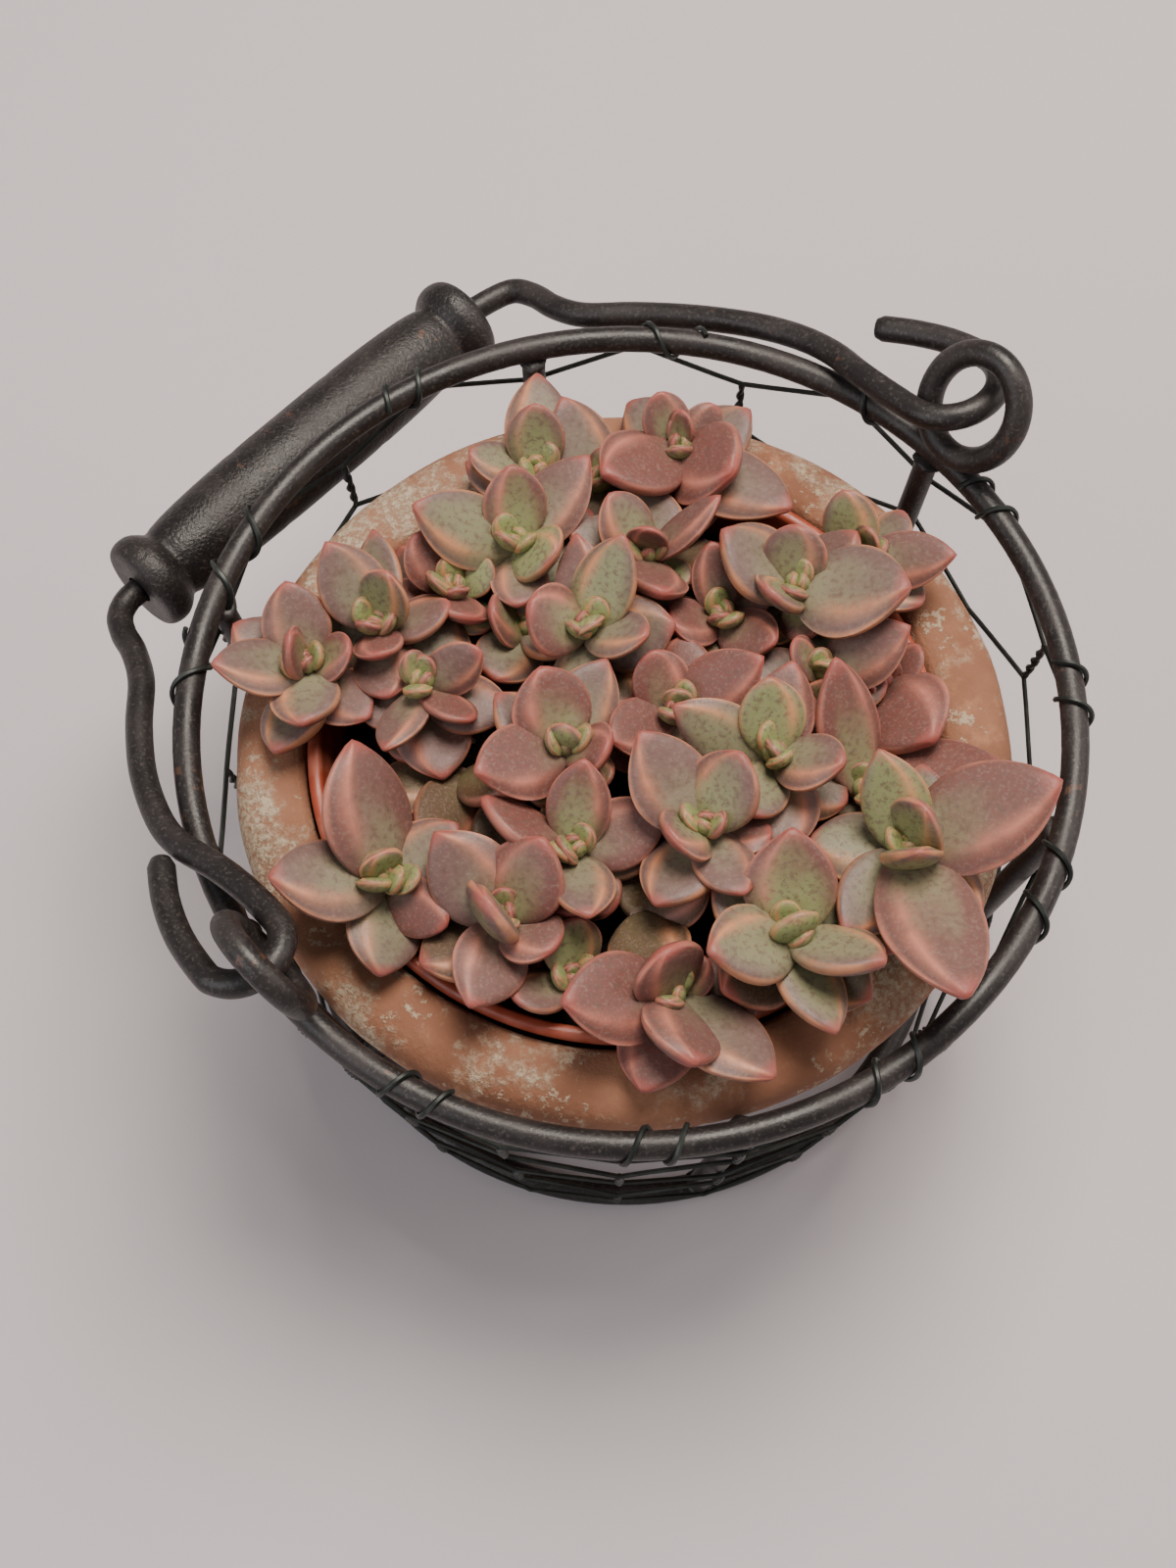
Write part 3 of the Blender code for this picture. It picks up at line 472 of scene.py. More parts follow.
@dataclass(frozen=True)
class PaintedWire:
    """Steel in dark brown-black satin enamel, with small rust nicks and a slightly orange-peeled gloss."""

    name: str = "dark_enamelled_steel"
    paint: str = "#1e1b1b"
    worn: str = "#2f2a29"
    rust: str = "#54392b"
    dust: str = "#6a625e"
    relief: float = 0.1

    def build(self) -> bpy.types.Material:
        """Builds the enamel.

        Returns:
            The material.
        """
        m = Recipe(self.name)
        patches = m.node("TexNoise", grain(m.place, 9.0, 4.0))
        fine = m.node("TexNoise", grain(m.place, 0.5))
        grime = m.node("TexNoise", grain(m.place, 0.6, 4.0, 0.7))
        spots = m.node("Math", {0: m.node("TexNoise", grain(m.place, 2.2, 5.0)),
                                1: m.node("TexNoise", grain(m.place, 14.0, 2.0))}, operation="MULTIPLY")
        colour: object = self.paint
        for mask, coat in ((span(patches, 0.42, 0.7), self.worn),
                           (span(spots, 0.385, 0.43, 0.0, 0.75), self.rust),
                           (span(grime, 0.52, 0.68, 0.0, 0.35), self.dust)):
            colour = m.node("Mix", {0: m.node("MapRange", mask, **SMOOTH), 6: colour, 7: coat}, 2, **RGB)
        height = m.node("Math", {0: fine, 1: m.node("TexNoise", grain(m.place, 3.0, 2.0))}, operation="ADD")
        normal = m.node("Bump", {"Height": height, "Distance": self.relief * MM, "Strength": 0.55})
        gloss = m.node("MapRange", span(patches, 0.3, 0.75, 0.38, 0.54), **SMOOTH)
        return m.finish(colour, gloss, normal, Metallic=0.1)


@dataclass(frozen=True)
class NettingPaint:
    """Galvanised netting wire painted dark green-black, slightly paler where the paint is thin."""

    name: str = "painted_netting_wire"
    paint: str = "#1e2321"
    worn: str = "#363c39"

    def build(self) -> bpy.types.Material:
        """Builds the netting's paint.

        Returns:
            The material.
        """
        m = Recipe(self.name)
        wear = m.node("MapRange", span(m.node("TexNoise", grain(m.place, 5.0)), 0.45, 0.72), **SMOOTH)
        colour = m.node("Mix", {0: wear, 6: self.paint, 7: self.worn}, 2, **RGB)
        fine = m.node("TexNoise", grain(m.place, 0.6, 2.0))
        normal = m.node("Bump", {"Height": fine, "Distance": 0.04 * MM, "Strength": 0.5})
        return m.finish(colour, 0.45, normal, Metallic=0.3)


@dataclass(frozen=True)
class WeatheredClay:
    """Unglazed fired clay, matt and gritty, with a crust of pale lime where water has dried out of it."""

    name: str = "unglazed_clay"
    clay: str = "#9b6d53"
    deep: str = "#82563f"
    bright: str = "#ab7a5b"
    lime: str = "#b7a68e"

    def build(self) -> bpy.types.Material:
        """Builds the clay, with more lime towards -X than towards +X.

        Returns:
            The material.
        """
        m = Recipe(self.name)
        large = m.node("TexNoise", grain(m.place, 26.0, 4.0))
        middle = m.node("TexNoise", grain(m.place, 7.0, 5.0, 0.65))
        grit = m.node("TexNoise", grain(m.place, 0.9, 4.0, 0.7))
        across = m.node("SeparateXYZ", {0: m.place}, "X")
        bloom = m.node("Mix", {0: 0.3, 2: m.node("TexNoise", grain(m.place, 19.0, 6.0, 0.7)), 3: middle})
        bloom = m.node("Math", {0: bloom, 1: m.node("MapRange", span(across, -0.05, 0.05, 0.03, -0.012))},
                       operation="ADD")
        crust = m.node("Math", {0: m.node("MapRange", span(bloom, 0.49, 0.58), **SMOOTH),
                                1: m.node("MapRange", span(grit, 0.38, 0.6, 0.2, 1.0), **SMOOTH)},
                       operation="MULTIPLY")
        spots = m.node("Math", {0: m.node("TexNoise", grain(m.place, 1.7, 4.0, 0.7)),
                                1: m.node("TexNoise", grain(m.place, 11.0))}, operation="MULTIPLY")
        chalk = m.node("Math", {0: crust, 1: m.node("MapRange", span(spots, 0.31, 0.37, 0.0, 0.8), **SMOOTH)},
                       operation="MAXIMUM")
        colour: object = self.deep
        for mask, coat in ((m.node("MapRange", span(large, 0.35, 0.68), **SMOOTH), self.clay),
                           (m.node("MapRange", span(middle, 0.5, 0.75), **SMOOTH), self.bright),
                           (chalk, self.lime),
                           (m.node("MapRange", span(grit, 0.62, 0.76, 0.0, 0.45), **SMOOTH), self.deep)):
            colour = m.node("Mix", {0: mask, 6: colour, 7: coat}, 2, **RGB)
        height = m.node("Math", {0: middle, 1: grit}, operation="ADD")
        rough = m.node("Bump", {"Height": height, "Distance": 0.35 * MM, "Strength": 0.75})
        normal = m.node("Bump", {"Height": chalk, "Distance": 0.25 * MM, "Strength": 0.6, "Normal": rough})
        return m.finish(colour, 0.86, normal)


@dataclass(frozen=True)
class NurseryPlastic:
    """Thin injection-moulded polypropylene in brick red, rubbed paler and duller on its lip."""

    name: str = "moulded_polypropylene"
    plastic: str = "#96432f"
    rubbed: str = "#ad5f4a"

    def build(self) -> bpy.types.Material:
        """Builds the plastic.

        Returns:
            The material.
        """
        m = Recipe(self.name)
        rub = m.node("MapRange", span(m.node("TexNoise", grain(m.place, 6.0, 4.0)), 0.45, 0.7), **SMOOTH)
        colour = m.node("Mix", {0: rub, 6: self.plastic, 7: self.rubbed}, 2, **RGB)
        wear = m.node("TexNoise", grain(m.place, 3.0))
        gloss = m.node("MapRange", span(wear, 0.3, 0.7, 0.34, 0.5), **SMOOTH)
        fine = m.node("TexNoise", grain(m.place, 1.2))
        normal = m.node("Bump", {"Height": fine, "Distance": 0.05 * MM, "Strength": 0.5})
        return m.finish(colour, gloss, normal)


@dataclass(frozen=True)
class PottingMix:
    """Damp peat and bark potting mix, near black and crumbly."""

    name: str = "potting_mix"
    dark: str = "#1d1814"
    brown: str = "#3a2d24"

    def build(self) -> bpy.types.Material:
        """Builds the soil.

        Returns:
            The material.
        """
        m = Recipe(self.name)
        bark = m.node("TexNoise", grain(m.place, 1.3, 4.0, 0.7))
        flecks = m.node("MapRange", span(bark, 0.45, 0.7), **SMOOTH)
        colour = m.node("Mix", {0: flecks, 6: self.dark, 7: self.brown}, 2, **RGB)
        crumbs = m.node("TexVoronoi", {"Vector": m.place, "Scale": per(1.6)})
        height = m.node("Math", {0: crumbs, 1: m.node("TexNoise", grain(m.place, 0.7, 4.0))}, operation="ADD")
        normal = m.node("Bump", {"Height": height, "Distance": 0.9 * MM, "Strength": 0.9})
        return m.finish(colour, 0.95, normal)


@dataclass(frozen=True)
class PaleGrain:
    """Expanded perlite, chalk white and pitted, with soil in its pits."""

    name: str = "perlite"
    white: str = "#c9c4ba"
    soiled: str = "#8f867a"

    def build(self) -> bpy.types.Material:
        """Builds the grains' perlite.

        Returns:
            The material.
        """
        m = Recipe(self.name)
        pits = m.node("MapRange", span(m.node("TexNoise", grain(m.place, 0.8)), 0.45, 0.62), **SMOOTH)
        colour = m.node("Mix", {0: pits, 6: self.white, 7: self.soiled}, 2, **RGB)
        normal = m.node("Bump", {"Height": pits, "Distance": 0.2 * MM, "Strength": 0.7})
        return m.finish(colour, 0.9, normal)


@dataclass(frozen=True)
class SedumSkin:
    """Waxy succulent skin: grey-green going to dusty rose, coral margins partly painted highlight, a painted
    highlight along the ridges, painted shade on low leaves, fine dark dots and a thin bloom.
    """

    name: str = "waxy_sedum_skin"
    old_green: str = "#7c775f"
    young_green: str = "#86915a"
    rose: str = "#6c5651"
    brick: str = "#714640"
    # painted shade: a dark olive-brown laid over low leaves, low rosettes and stems where shade falls, partly
    # the dull olive of old low leaves
    painted_shade_olive: str = "#544329"
    # coral and flush colour the margins, partly their own colour and partly painted highlight, and the ridges
    # as a painted highlight
    coral: str = "#cc8a62"
    flush: str = "#bc7766"
    tip: str = "#a5524a"
    bloom: str = "#937e74"
    dot: str = "#4a2e2b"
    mottle: str = "#5a443c"

    def build(self) -> bpy.types.Material:
        """Builds the skin from two attributes of the leaves.

        leaf_form gives the share of the length, the nearness to the margin and the nearness to the ridge,
        where a highlight is painted.
        leaf_kind gives the tone, the youth and how low the leaf lies, which sets how much painted shade it
        takes.

        Returns:
            The material.
        """
        m = Recipe(self.name)
        form, kind = (m.node("Attribute", {}, "Color", attribute_name=name)
                      for name in ("leaf_form", "leaf_kind"))
        share, margin, ridge = (m.node("SeparateColor", {0: form}, out) for out in range(3))
        tone, youth, low = (m.node("SeparateColor", {0: kind}, out) for out in range(3))
        cloud = m.node("TexNoise", grain(m.place, 5.0, 4.0))
        fine = m.node("TexNoise", grain(m.place, 0.45, 3.0, 0.6))
        blotches = m.node("TexNoise", grain(m.place, 0.9, 4.0, 0.7))
        green = m.node("Mix", {0: youth, 6: self.old_green, 7: self.young_green}, 2, **RGB)
        rose, margin_and_highlight = (
            m.node("Mix", {0: m.node("MapRange", span(tone, *ends), **SMOOTH), 6: cool, 7: hot}, 2, **RGB)
            for ends, cool, hot in (((0.25, 0.9), self.rose, self.brick),
                                    ((0.2, 0.8), self.coral, self.flush)))
        ripe = m.node("MapRange", span(margin, 0.3, 0.95, 0.0, 0.4), **SMOOTH)
        for part, weight in ((share, 0.75), (tone, 0.6), (cloud, 0.5), (youth, -0.7)):
            ripe = m.node("Math", {0: part, 1: weight, 2: ripe}, operation="MULTIPLY_ADD")
        # The edge mask paints coral on the margins, partly their own colour and partly painted highlight, and
        # a painted highlight along the ridge, faint towards the base
        ridge_highlight = m.node("Math", {0: ridge, 1: 0.85}, operation="MULTIPLY")
        edge = m.node("Math", {0: m.node("MapRange", span(margin, 0.86, 0.99, 0.0, 0.7), **SMOOTH), 1: ridge_highlight},
                      operation="MAXIMUM")
        for mask in (span(share, 0.15, 0.6, 0.1, 1.0), span(cloud, 0.35, 0.6, 0.45, 1.0)):
            edge = m.node("Math", {0: edge, 1: m.node("MapRange", mask, **SMOOTH)}, operation="MULTIPLY")
        point = m.node("Math", {0: m.node("MapRange", span(share, 0.85, 0.99, 0.0, 0.65), **SMOOTH),
                                1: m.node("MapRange", span(youth, 0.3, 1.0, 1.0, 0.4))}, operation="MULTIPLY")
        # The dots are drawn about half a millimetre across, coarser than the real ones, so that they show
        specks = m.node("TexVoronoi", {"Vector": m.place, "Scale": per(1.5)})
        groups = m.node("TexNoise", grain(m.place, 4.0, 2.0))
        dots = m.node("Math", {0: m.node("MapRange", span(specks, 0.0, 0.16, 0.6, 0.0), **SMOOTH),
                               1: m.node("MapRange", span(groups, 0.5, 0.62), **SMOOTH)},
                      operation="MULTIPLY")
        colour = green
        for mask, coat in ((m.node("MapRange", span(ripe, 0.5, 1.15), **SMOOTH), rose),
                           # painted shade: the third channel of leaf_kind darkens low leaves and stems
                           # towards olive
                           (m.node("Math", {0: low, 1: 0.8}, operation="MULTIPLY"), self.painted_shade_olive),
                           (m.node("MapRange", span(fine, 0.48, 0.68, 0.0, 0.45), **SMOOTH), self.bloom),
                           (m.node("MapRange", span(blotches, 0.48, 0.64, 0.0, 0.6), **SMOOTH), self.mottle),
                           (edge, margin_and_highlight), (point, self.tip), (dots, self.dot)):
            colour = m.node("Mix", {0: mask, 6: colour, 7: coat}, 2, **RGB)
        height = m.node("Math", {0: fine, 1: cloud}, operation="ADD")
        normal = m.node("Bump", {"Height": height, "Distance": 0.1 * MM, "Strength": 0.5})
        gloss = m.node("MapRange", span(fine, 0.3, 0.7, 0.4, 0.55), **SMOOTH)
        return m.finish(colour, gloss, normal, Subsurface_Weight=0.08, Subsurface_Scale=0.0015,
                        Specular_IOR_Level=0.4)


@dataclass(frozen=True)
class PaleFloor:
    """Smooth pale grey-mauve paper, matt and even."""

    name: str = "pale_floor"
    paper: str = "#c3bdc0"

    def build(self) -> bpy.types.Material:
        """Builds the paper's material."""
        return Recipe(self.name).finish(self.paper, 0.9)


# Basket


@dataclass
class WireBasket:
    """The heavy wire frame: two rings, six stays, three floor rods and the beads of weld between them."""

    look: bpy.types.Material
    steps: int = 128
    rod_sides: int = 24
    rod_edge: float = 0.4
    bead: Triple = (2.6, 2.6, 0.9)
    bead_lumps: float = 0.22
    stay_turns: tuple[float, ...] = tuple(STAY_TURN + 360 / STAY_COUNT * i for i in range(STAY_COUNT))

    def stay_radius(self, z: float) -> float:
        """Distance of a stay's centre line from the basket's middle at a height."""
        return BASE_RING_R + (STAY_TOP_R - BASE_RING_R) * (z - STAY_LOW_Z) / (STAY_HIGH_Z - STAY_LOW_Z)

    def rings(self) -> None:
        """Adds the two rings."""
        for name, radius, z in (("top_ring", TOP_RING_R, TOP_RING_Z),
                                ("base_ring", BASE_RING_R, BASE_RING_Z)):
            shape = spun(circle_profile(radius, z, WIRE_R), self.steps)
            add_node(f"{name}_wire", shape, self.look, [name])

    def rod(self, name: str, start: Vector, end: Vector, radius: float) -> None:
        """Adds one straight rod with slightly rounded ends.

        Args:
            name: the CAD node that it replaces.
            start: the middle of one end.
            end: the middle of the other end.
            radius: its radius.
        """
        shape = bmesh.new()
        bmesh.ops.create_cone(shape, cap_ends=True, segments=self.rod_sides, radius1=radius, radius2=radius,
                              depth=(end - start).length)
        rims = [edge for edge in shape.edges if abs(edge.verts[0].co.z - edge.verts[1].co.z) < 0.01]
        bmesh.ops.bevel(shape, geom=rims, offset=self.rod_edge, segments=2, profile=0.5, affect="EDGES",
                        material=-1)
        turn = (end - start).to_track_quat("Z", "Y").to_matrix().to_4x4()
        shape.transform(Matrix.Translation((start + end) / 2) @ turn)
        add_node(f"{name}_wire", shape, self.look, [name])

    def stays(self) -> None:
        """Adds the six stays."""
        for number, turn in enumerate(self.stay_turns, 1):
            low, high = (polar(self.stay_radius(z), turn, z) for z in (STAY_LOW_Z, STAY_HIGH_Z))
            self.rod(f"stay_{number}", low, high, STAY_R)

    def floor_rods(self) -> None:
        """Adds the three parallel floor rods."""
        turn = Matrix.Rotation(math.radians(FLOOR_ROD_TURN), 3, "Z")
        for number in range(3):
            side = (number - 1) * FLOOR_ROD_SPACING
            half = math.sqrt(BASE_RING_R ** 2 - side ** 2)
            start, end = (turn @ Vector((x, side, STAY_LOW_Z + FLOOR_ROD_R)) for x in (-half, half))
            self.rod(f"floor_rod_{number + 1}", start, end, FLOOR_ROD_R)

    def weld_beads(self) -> None:
        """Adds the beads of weld where the stays meet the rings, each a little lumpy."""
        shape = bmesh.new()
        for turn in self.stay_turns:
            for radius, z in ((STAY_TOP_R + 0.2, TOP_RING_Z - WIRE_R), (BASE_RING_R, 2 * BASE_RING_Z)):
                place = Matrix.Translation(polar(radius, turn, z)) @ Matrix.Diagonal((*self.bead, 1.0))
                bead = bmesh.ops.create_icosphere(shape, subdivisions=3, radius=1.0, matrix=place)["verts"]
                for vert in bead:
                    vert.co += (vert.co - place.translation) * self.bead_lumps * noise.noise(vert.co * 0.9)
        add_node("weld_beads", shape, self.look)

    def build(self) -> None:
        """Adds every piece of the frame."""
        self.rings()
        self.stays()
        self.floor_rods()
        self.weld_beads()


@dataclass
class ChickenWire:
    """Hexagon netting round the stays, with twisted upright pairs and ends wound on the top ring."""

    look: bpy.types.Material
    basket: WireBasket
    columns: int = 12
    rows: int = 4
    zigzag: float = 6.2
    twist: float = 11.0
    bottom: float = 6.2
    turn: float = 28.5
    strands: int = 6
    uneven: float = 0.9
    sag: float = 0.35
    pair_steps: int = 16
    pair_half_turns: float = 4.2
    pair_spread: float = 0.44
    wrap_gap: float = 0.05
    wrap_steps: int = 26
    wrap_step: float = 22.0
    wrap_start: float = -35.0

    def radius(self, z: float) -> float:
        """Distance of the netting from the basket's middle at a height."""
        return self.basket.stay_radius(z) + STAY_R + NET_WIRE_R + 0.15

    def azimuth(self, column: int) -> float:
        """Azimuth of a column of corners in degrees."""
        return self.turn + 180 / self.columns * column

    def knot(self, row: int, column: int) -> Vector:
        """A corner of the hexagon lattice, a peak or a valley of its row's zigzag, with its unevenness.

        Args:
            row: its row, from the foot.
            column: its column round the wall.

        Returns:
            Its place.
        """
        z = self.bottom + (self.zigzag + self.twist) * row + (self.zigzag if (column + row) % 2 == 0 else 0.0)
        corner = polar(self.radius(z), self.azimuth(column), z)
        spot = Vector((row * 3.7, (column % (2 * self.columns)) * 2.3, 0.5))
        return corner + (Vector((0, 0, self.uneven * noise.noise(spot))) if 0 < row < self.rows else Vector())

    def twisted_pair(self, shape: bmesh.types.BMesh, low: Vector, high: Vector) -> None:
        """Adds two wires twisted round each other.

        Args:
            shape: the bmesh that takes them.
            low: the corner that they start from.
            high: the corner that they end at.
        """
        along = (high - low).normalized()
        side = Vector((-low.y, low.x, 0)).normalized()
        other = along.cross(side)
        for start in (0.0, math.pi):
            route = []
            for step in range(self.pair_steps + 1):
                share = step / self.pair_steps
                angle = start + self.pair_half_turns * math.pi * share
                spread = self.pair_spread * math.sin(math.pi * min(max(share, 0.04), 0.96)) ** 0.4
                outward = side * math.cos(angle) + other * math.sin(angle)
                route.append(low.lerp(high, share) + outward * spread)
            sweep(shape, route, NET_WIRE_R * 0.92, self.strands)

    def wall(self) -> None:
        """Adds the netting's wall, with its ends wound round the top ring."""
        shape = bmesh.new()
        count = 2 * self.columns
        for row in range(self.rows + 1):
            for column in range(count):
                a, b = self.knot(row, column), self.knot(row, column + 1)
                sag = polar(self.sag * noise.noise(Vector((row, column, 4.2))), self.azimuth(column))
                route = [a, *(a.lerp(b, share) + sag for share in (0.25, 0.5, 0.75)), b]
                sweep(shape, route, NET_WIRE_R, self.strands)
                if row < self.rows and (column + row) % 2 == 0:
                    self.twisted_pair(shape, a, self.knot(row + 1, column))
        for column in range(0, count, 2):
            self.wrap(shape, self.azimuth(column))
        add_node("chicken_wire", shape, self.look, ["netting_wall"])

    def wrap(self, shape: bmesh.types.BMesh, turn: float) -> None:
        """Winds one wire end round the top ring at a slant, one to two times, as a hand would.

        Args:
            shape: the bmesh that takes it.
            turn: the azimuth in degrees that it starts from.
        """
        top = self.bottom + (self.zigzag + self.twist) * self.rows + self.zigzag
        coil = WIRE_R + NET_WIRE_R + self.wrap_gap
        whim = noise.noise(Vector((turn * 0.37, 1.3, 0.6)))
        slant = (0.3 + 0.5 * abs(whim)) * (1 if whim > -0.1 else -1)
        route = [polar(self.radius(top), turn, top - 0.3), polar(self.radius(top) + 0.5, turn, top + 0.9)]
        for step in range(self.wrap_steps + int(14 * whim)):
            angle = math.radians(self.wrap_start + self.wrap_step * step)
            route.append(polar(TOP_RING_R + coil * math.cos(angle), turn + slant * step,
                               TOP_RING_Z + coil * math.sin(angle)))
        sweep(shape, smoothed(route, 2), NET_WIRE_R, self.strands)

    def build(self, floor: bpy.types.Object) -> None:
        """Adds the wall, and paints the floor disc that the frame already holds.

        Args:
            floor: the disc's object.
        """
        self.wall()
        for holder in floor.material_slots:
            holder.material = self.look


# Bail


@dataclass
class Ear:
    """A leaning loop of heavy wire on the top ring that holds one end of the bail."""

    sign: int
    lean: float
    hook_width: float
    radius: float = 8.0
    foot: float = 68.8
    low_turn: float = 17.0
    hook_steps: int = 8

    @property
    def slope(self) -> float:
        """How far the loop leans out for each millimetre of rise."""
        return math.tan(math.radians(self.lean))

    @property
    def middle(self) -> float:
        """The loop's place along the hinge axis."""
        return self.foot + self.slope * self.radius

    @property
    def hook_centre(self) -> float:
        """The hook's middle along the axis, between the loop's top and its low_turn below level."""
        return self.middle + self.slope * self.radius * (1 - math.sin(math.radians(self.low_turn))) / 2

    def route(self, count: int) -> list[Vector]:
        """The loop's centre line.

        Args:
            count: how many points it has.

        Returns:
            Its points.
        """
        found = []
        for step in range(count):
            angle = 2 * math.pi * step / count
            rise = self.radius * math.sin(angle)
            found.append(HINGE_AXIS * self.sign * (self.middle + self.slope * rise)
                         + HINGE_LEVEL * self.radius * math.cos(angle) + Vector((0, 0, HINGE_Z + rise)))
        return found

    def hook(self, bottom: float) -> list[Point]:
        """The U bend of the bail through the loop, from the tail's side to the arm's.

        Args:
            bottom: the reach of the bend's lowest point.

        Returns:
            Its points, each as (along, reach).
        """
        half = self.hook_width / 2
        angles = [math.radians(180 / self.hook_steps * step) for step in range(self.hook_steps + 1)]
        return [(self.sign * (self.hook_centre + half * math.cos(angle)),
                 bottom + half * (1 - math.sin(angle))) for angle in angles]


@dataclass
class Bail:
    """The swinging bail with its hooked ends, its ears and the turned grip."""

    look: bpy.types.Material
    grip_look: bpy.types.Material
    left: Ear = field(default_factory=lambda: Ear(-1, 15.0, 13.0))
    right: Ear = field(default_factory=lambda: Ear(1, 30.0, 16.0))
    sides: int = 18
    hook_bottom: float = -1.0
    drop: float = 18.5
    grip_middle: Point = (-4.5, 83.5)
    grip_skew: float = 6.0
    grip_length: float = 78.0
    grip_bore: float = 2.55
    straight_past: float = 2.2
    straight_share: float = 0.47
    grooves: tuple[float, ...] = (-21.5, -11.0, -10.2, -0.6)
    groove_depth: float = 0.16
    groove_width: float = 0.28

    def point(self, along: float, reach: float) -> Vector:
        """A point of the resting bail.

        Args:
            along: its place along the hinge axis.
            reach: its distance from the axis.

        Returns:
            Its place.
        """
        drop = math.radians(self.drop)
        direction = HINGE_LEVEL * math.cos(drop) - Vector((0, 0, math.sin(drop)))
        return HINGE_AXIS * along + direction * reach + Vector((0, 0, HINGE_Z))

    def grip_line(self, share: float) -> Point:
        """A point of the grip's centre line, from -0.5 at its left end to 0.5 at its right end."""
        skew, step = math.radians(self.grip_skew), self.grip_length * share
        return self.grip_middle[0] + step * math.cos(skew), self.grip_middle[1] + step * math.sin(skew)

    def route(self) -> list[Vector]:
        """The bail's centre line.

        Returns:
            Its points, from its left tail to its right one.
        """
        tail_left = -(self.left.hook_centre + self.left.hook_width / 2)
        tail_right = self.right.hook_centre + self.right.hook_width / 2
        arm_foot = self.right.hook_centre - self.right.hook_width / 2 + 0.1
        start = [(tail_left + 6.5, 28.0), (tail_left + 3.0, 21.0), (tail_left + 0.8, 13.5)]
        left_arm = [(-65.3, 13.0), (-66.2, 20.5), (-67.9, 28.6), (-67.4, 35.5), (-64.3, 45.0), (-59.4, 54.0),
                    (-54.2, 61.5), (-51.6, 68.0), (-50.6, 73.0), (-48.8, 77.0)]
        right_arm = [(43.5, 86.2), (45.6, 81.8), (46.0, 76.0), (48.0, 70.0), (53.6, 62.8), (59.6, 53.6),
                     (64.7, 43.5), (67.4, 35.0), (68.2, 27.5), (67.5, 20.0), (arm_foot, 13.0)]
        finish = [(tail_right - 0.8, 13.5), (tail_right - 3.0, 20.0), (tail_right - 6.0, 26.0)]
        past = 0.5 + self.straight_past / self.grip_length
        before = [self.grip_line(-past), self.grip_line(-self.straight_share)]
        after = [self.grip_line(self.straight_share), self.grip_line(past)]
        first = [*start, *self.left.hook(self.hook_bottom), *left_arm, *before]
        last = [*after, *right_arm, *self.right.hook(self.hook_bottom)[::-1], *finish]
        spots = smoothed([(*p, 0) for p in first], 6)[:-6] + smoothed([(*p, 0) for p in last], 6)[6:]
        return [self.point(spot.x, spot.y) for spot in spots]

    def ears(self) -> None:
        """Adds the two ears."""
        for name, ear in (("ear_left", self.left), ("ear_right", self.right)):
            shape = bmesh.new()
            sweep(shape, ear.route(56), WIRE_R, self.sides, cyclic=True)
            add_node(f"{name}_loop", shape, self.look, [name])

    def wire(self) -> None:
        """Adds the bail's wire, with its cut ends a little rounded."""
        shape = bmesh.new()
        sweep(shape, self.route(), lambda share: WIRE_R - 0.5 * (share in (0.0, 1.0)), self.sides)
        add_node("bail_wire", shape, self.look, ["bail"], Body.BAIL)

    def grip(self) -> None:
        """Adds the turned grip: a long belly with fine grooves between two beads."""
        half = self.grip_length / 2
        knots = [(6.6, 0.0, 0), (7.6, 0.35, 0), (8.25, 1.4, 0), (8.42, 2.9, 0), (8.1, 4.3, 0), (7.3, 5.5, 0),
                 (6.55, 6.4, 0), (6.42, 7.2, 0), (6.75, 8.6, 0), (7.2, 12.0, 0), (7.6, 18.0, 0),
                 (7.82, 25.0, 0), (7.9, 32.0, 0), (7.9, half, 0)]
        lower = [(self.grip_bore, -half), *((knot.x, knot.y - half) for knot in smoothed(knots, 5))]
        for groove in self.grooves:
            lower = [(radius - self.groove_depth * math.exp(-((z - groove) / self.groove_width) ** 2), z)
                     for radius, z in lower]
        upper = [(radius, -z) for radius, z in reversed(lower[:-1])]
        shape = spun(lower + upper, 64)
        start, end = self.point(*self.grip_line(-0.5)), self.point(*self.grip_line(0.5))
        turn = (end - start).to_track_quat("Z", "Y").to_matrix().to_4x4()
        shape.transform(Matrix.Translation((start + end) / 2) @ turn)
        add_node("turned_grip", shape, self.grip_look, ["grip"], Body.GRIP, angle=40.0)

    def build(self) -> None:
        """Adds the ears, the wire and the grip."""
        self.ears()
        self.wire()
        self.grip()


# Pots and soil


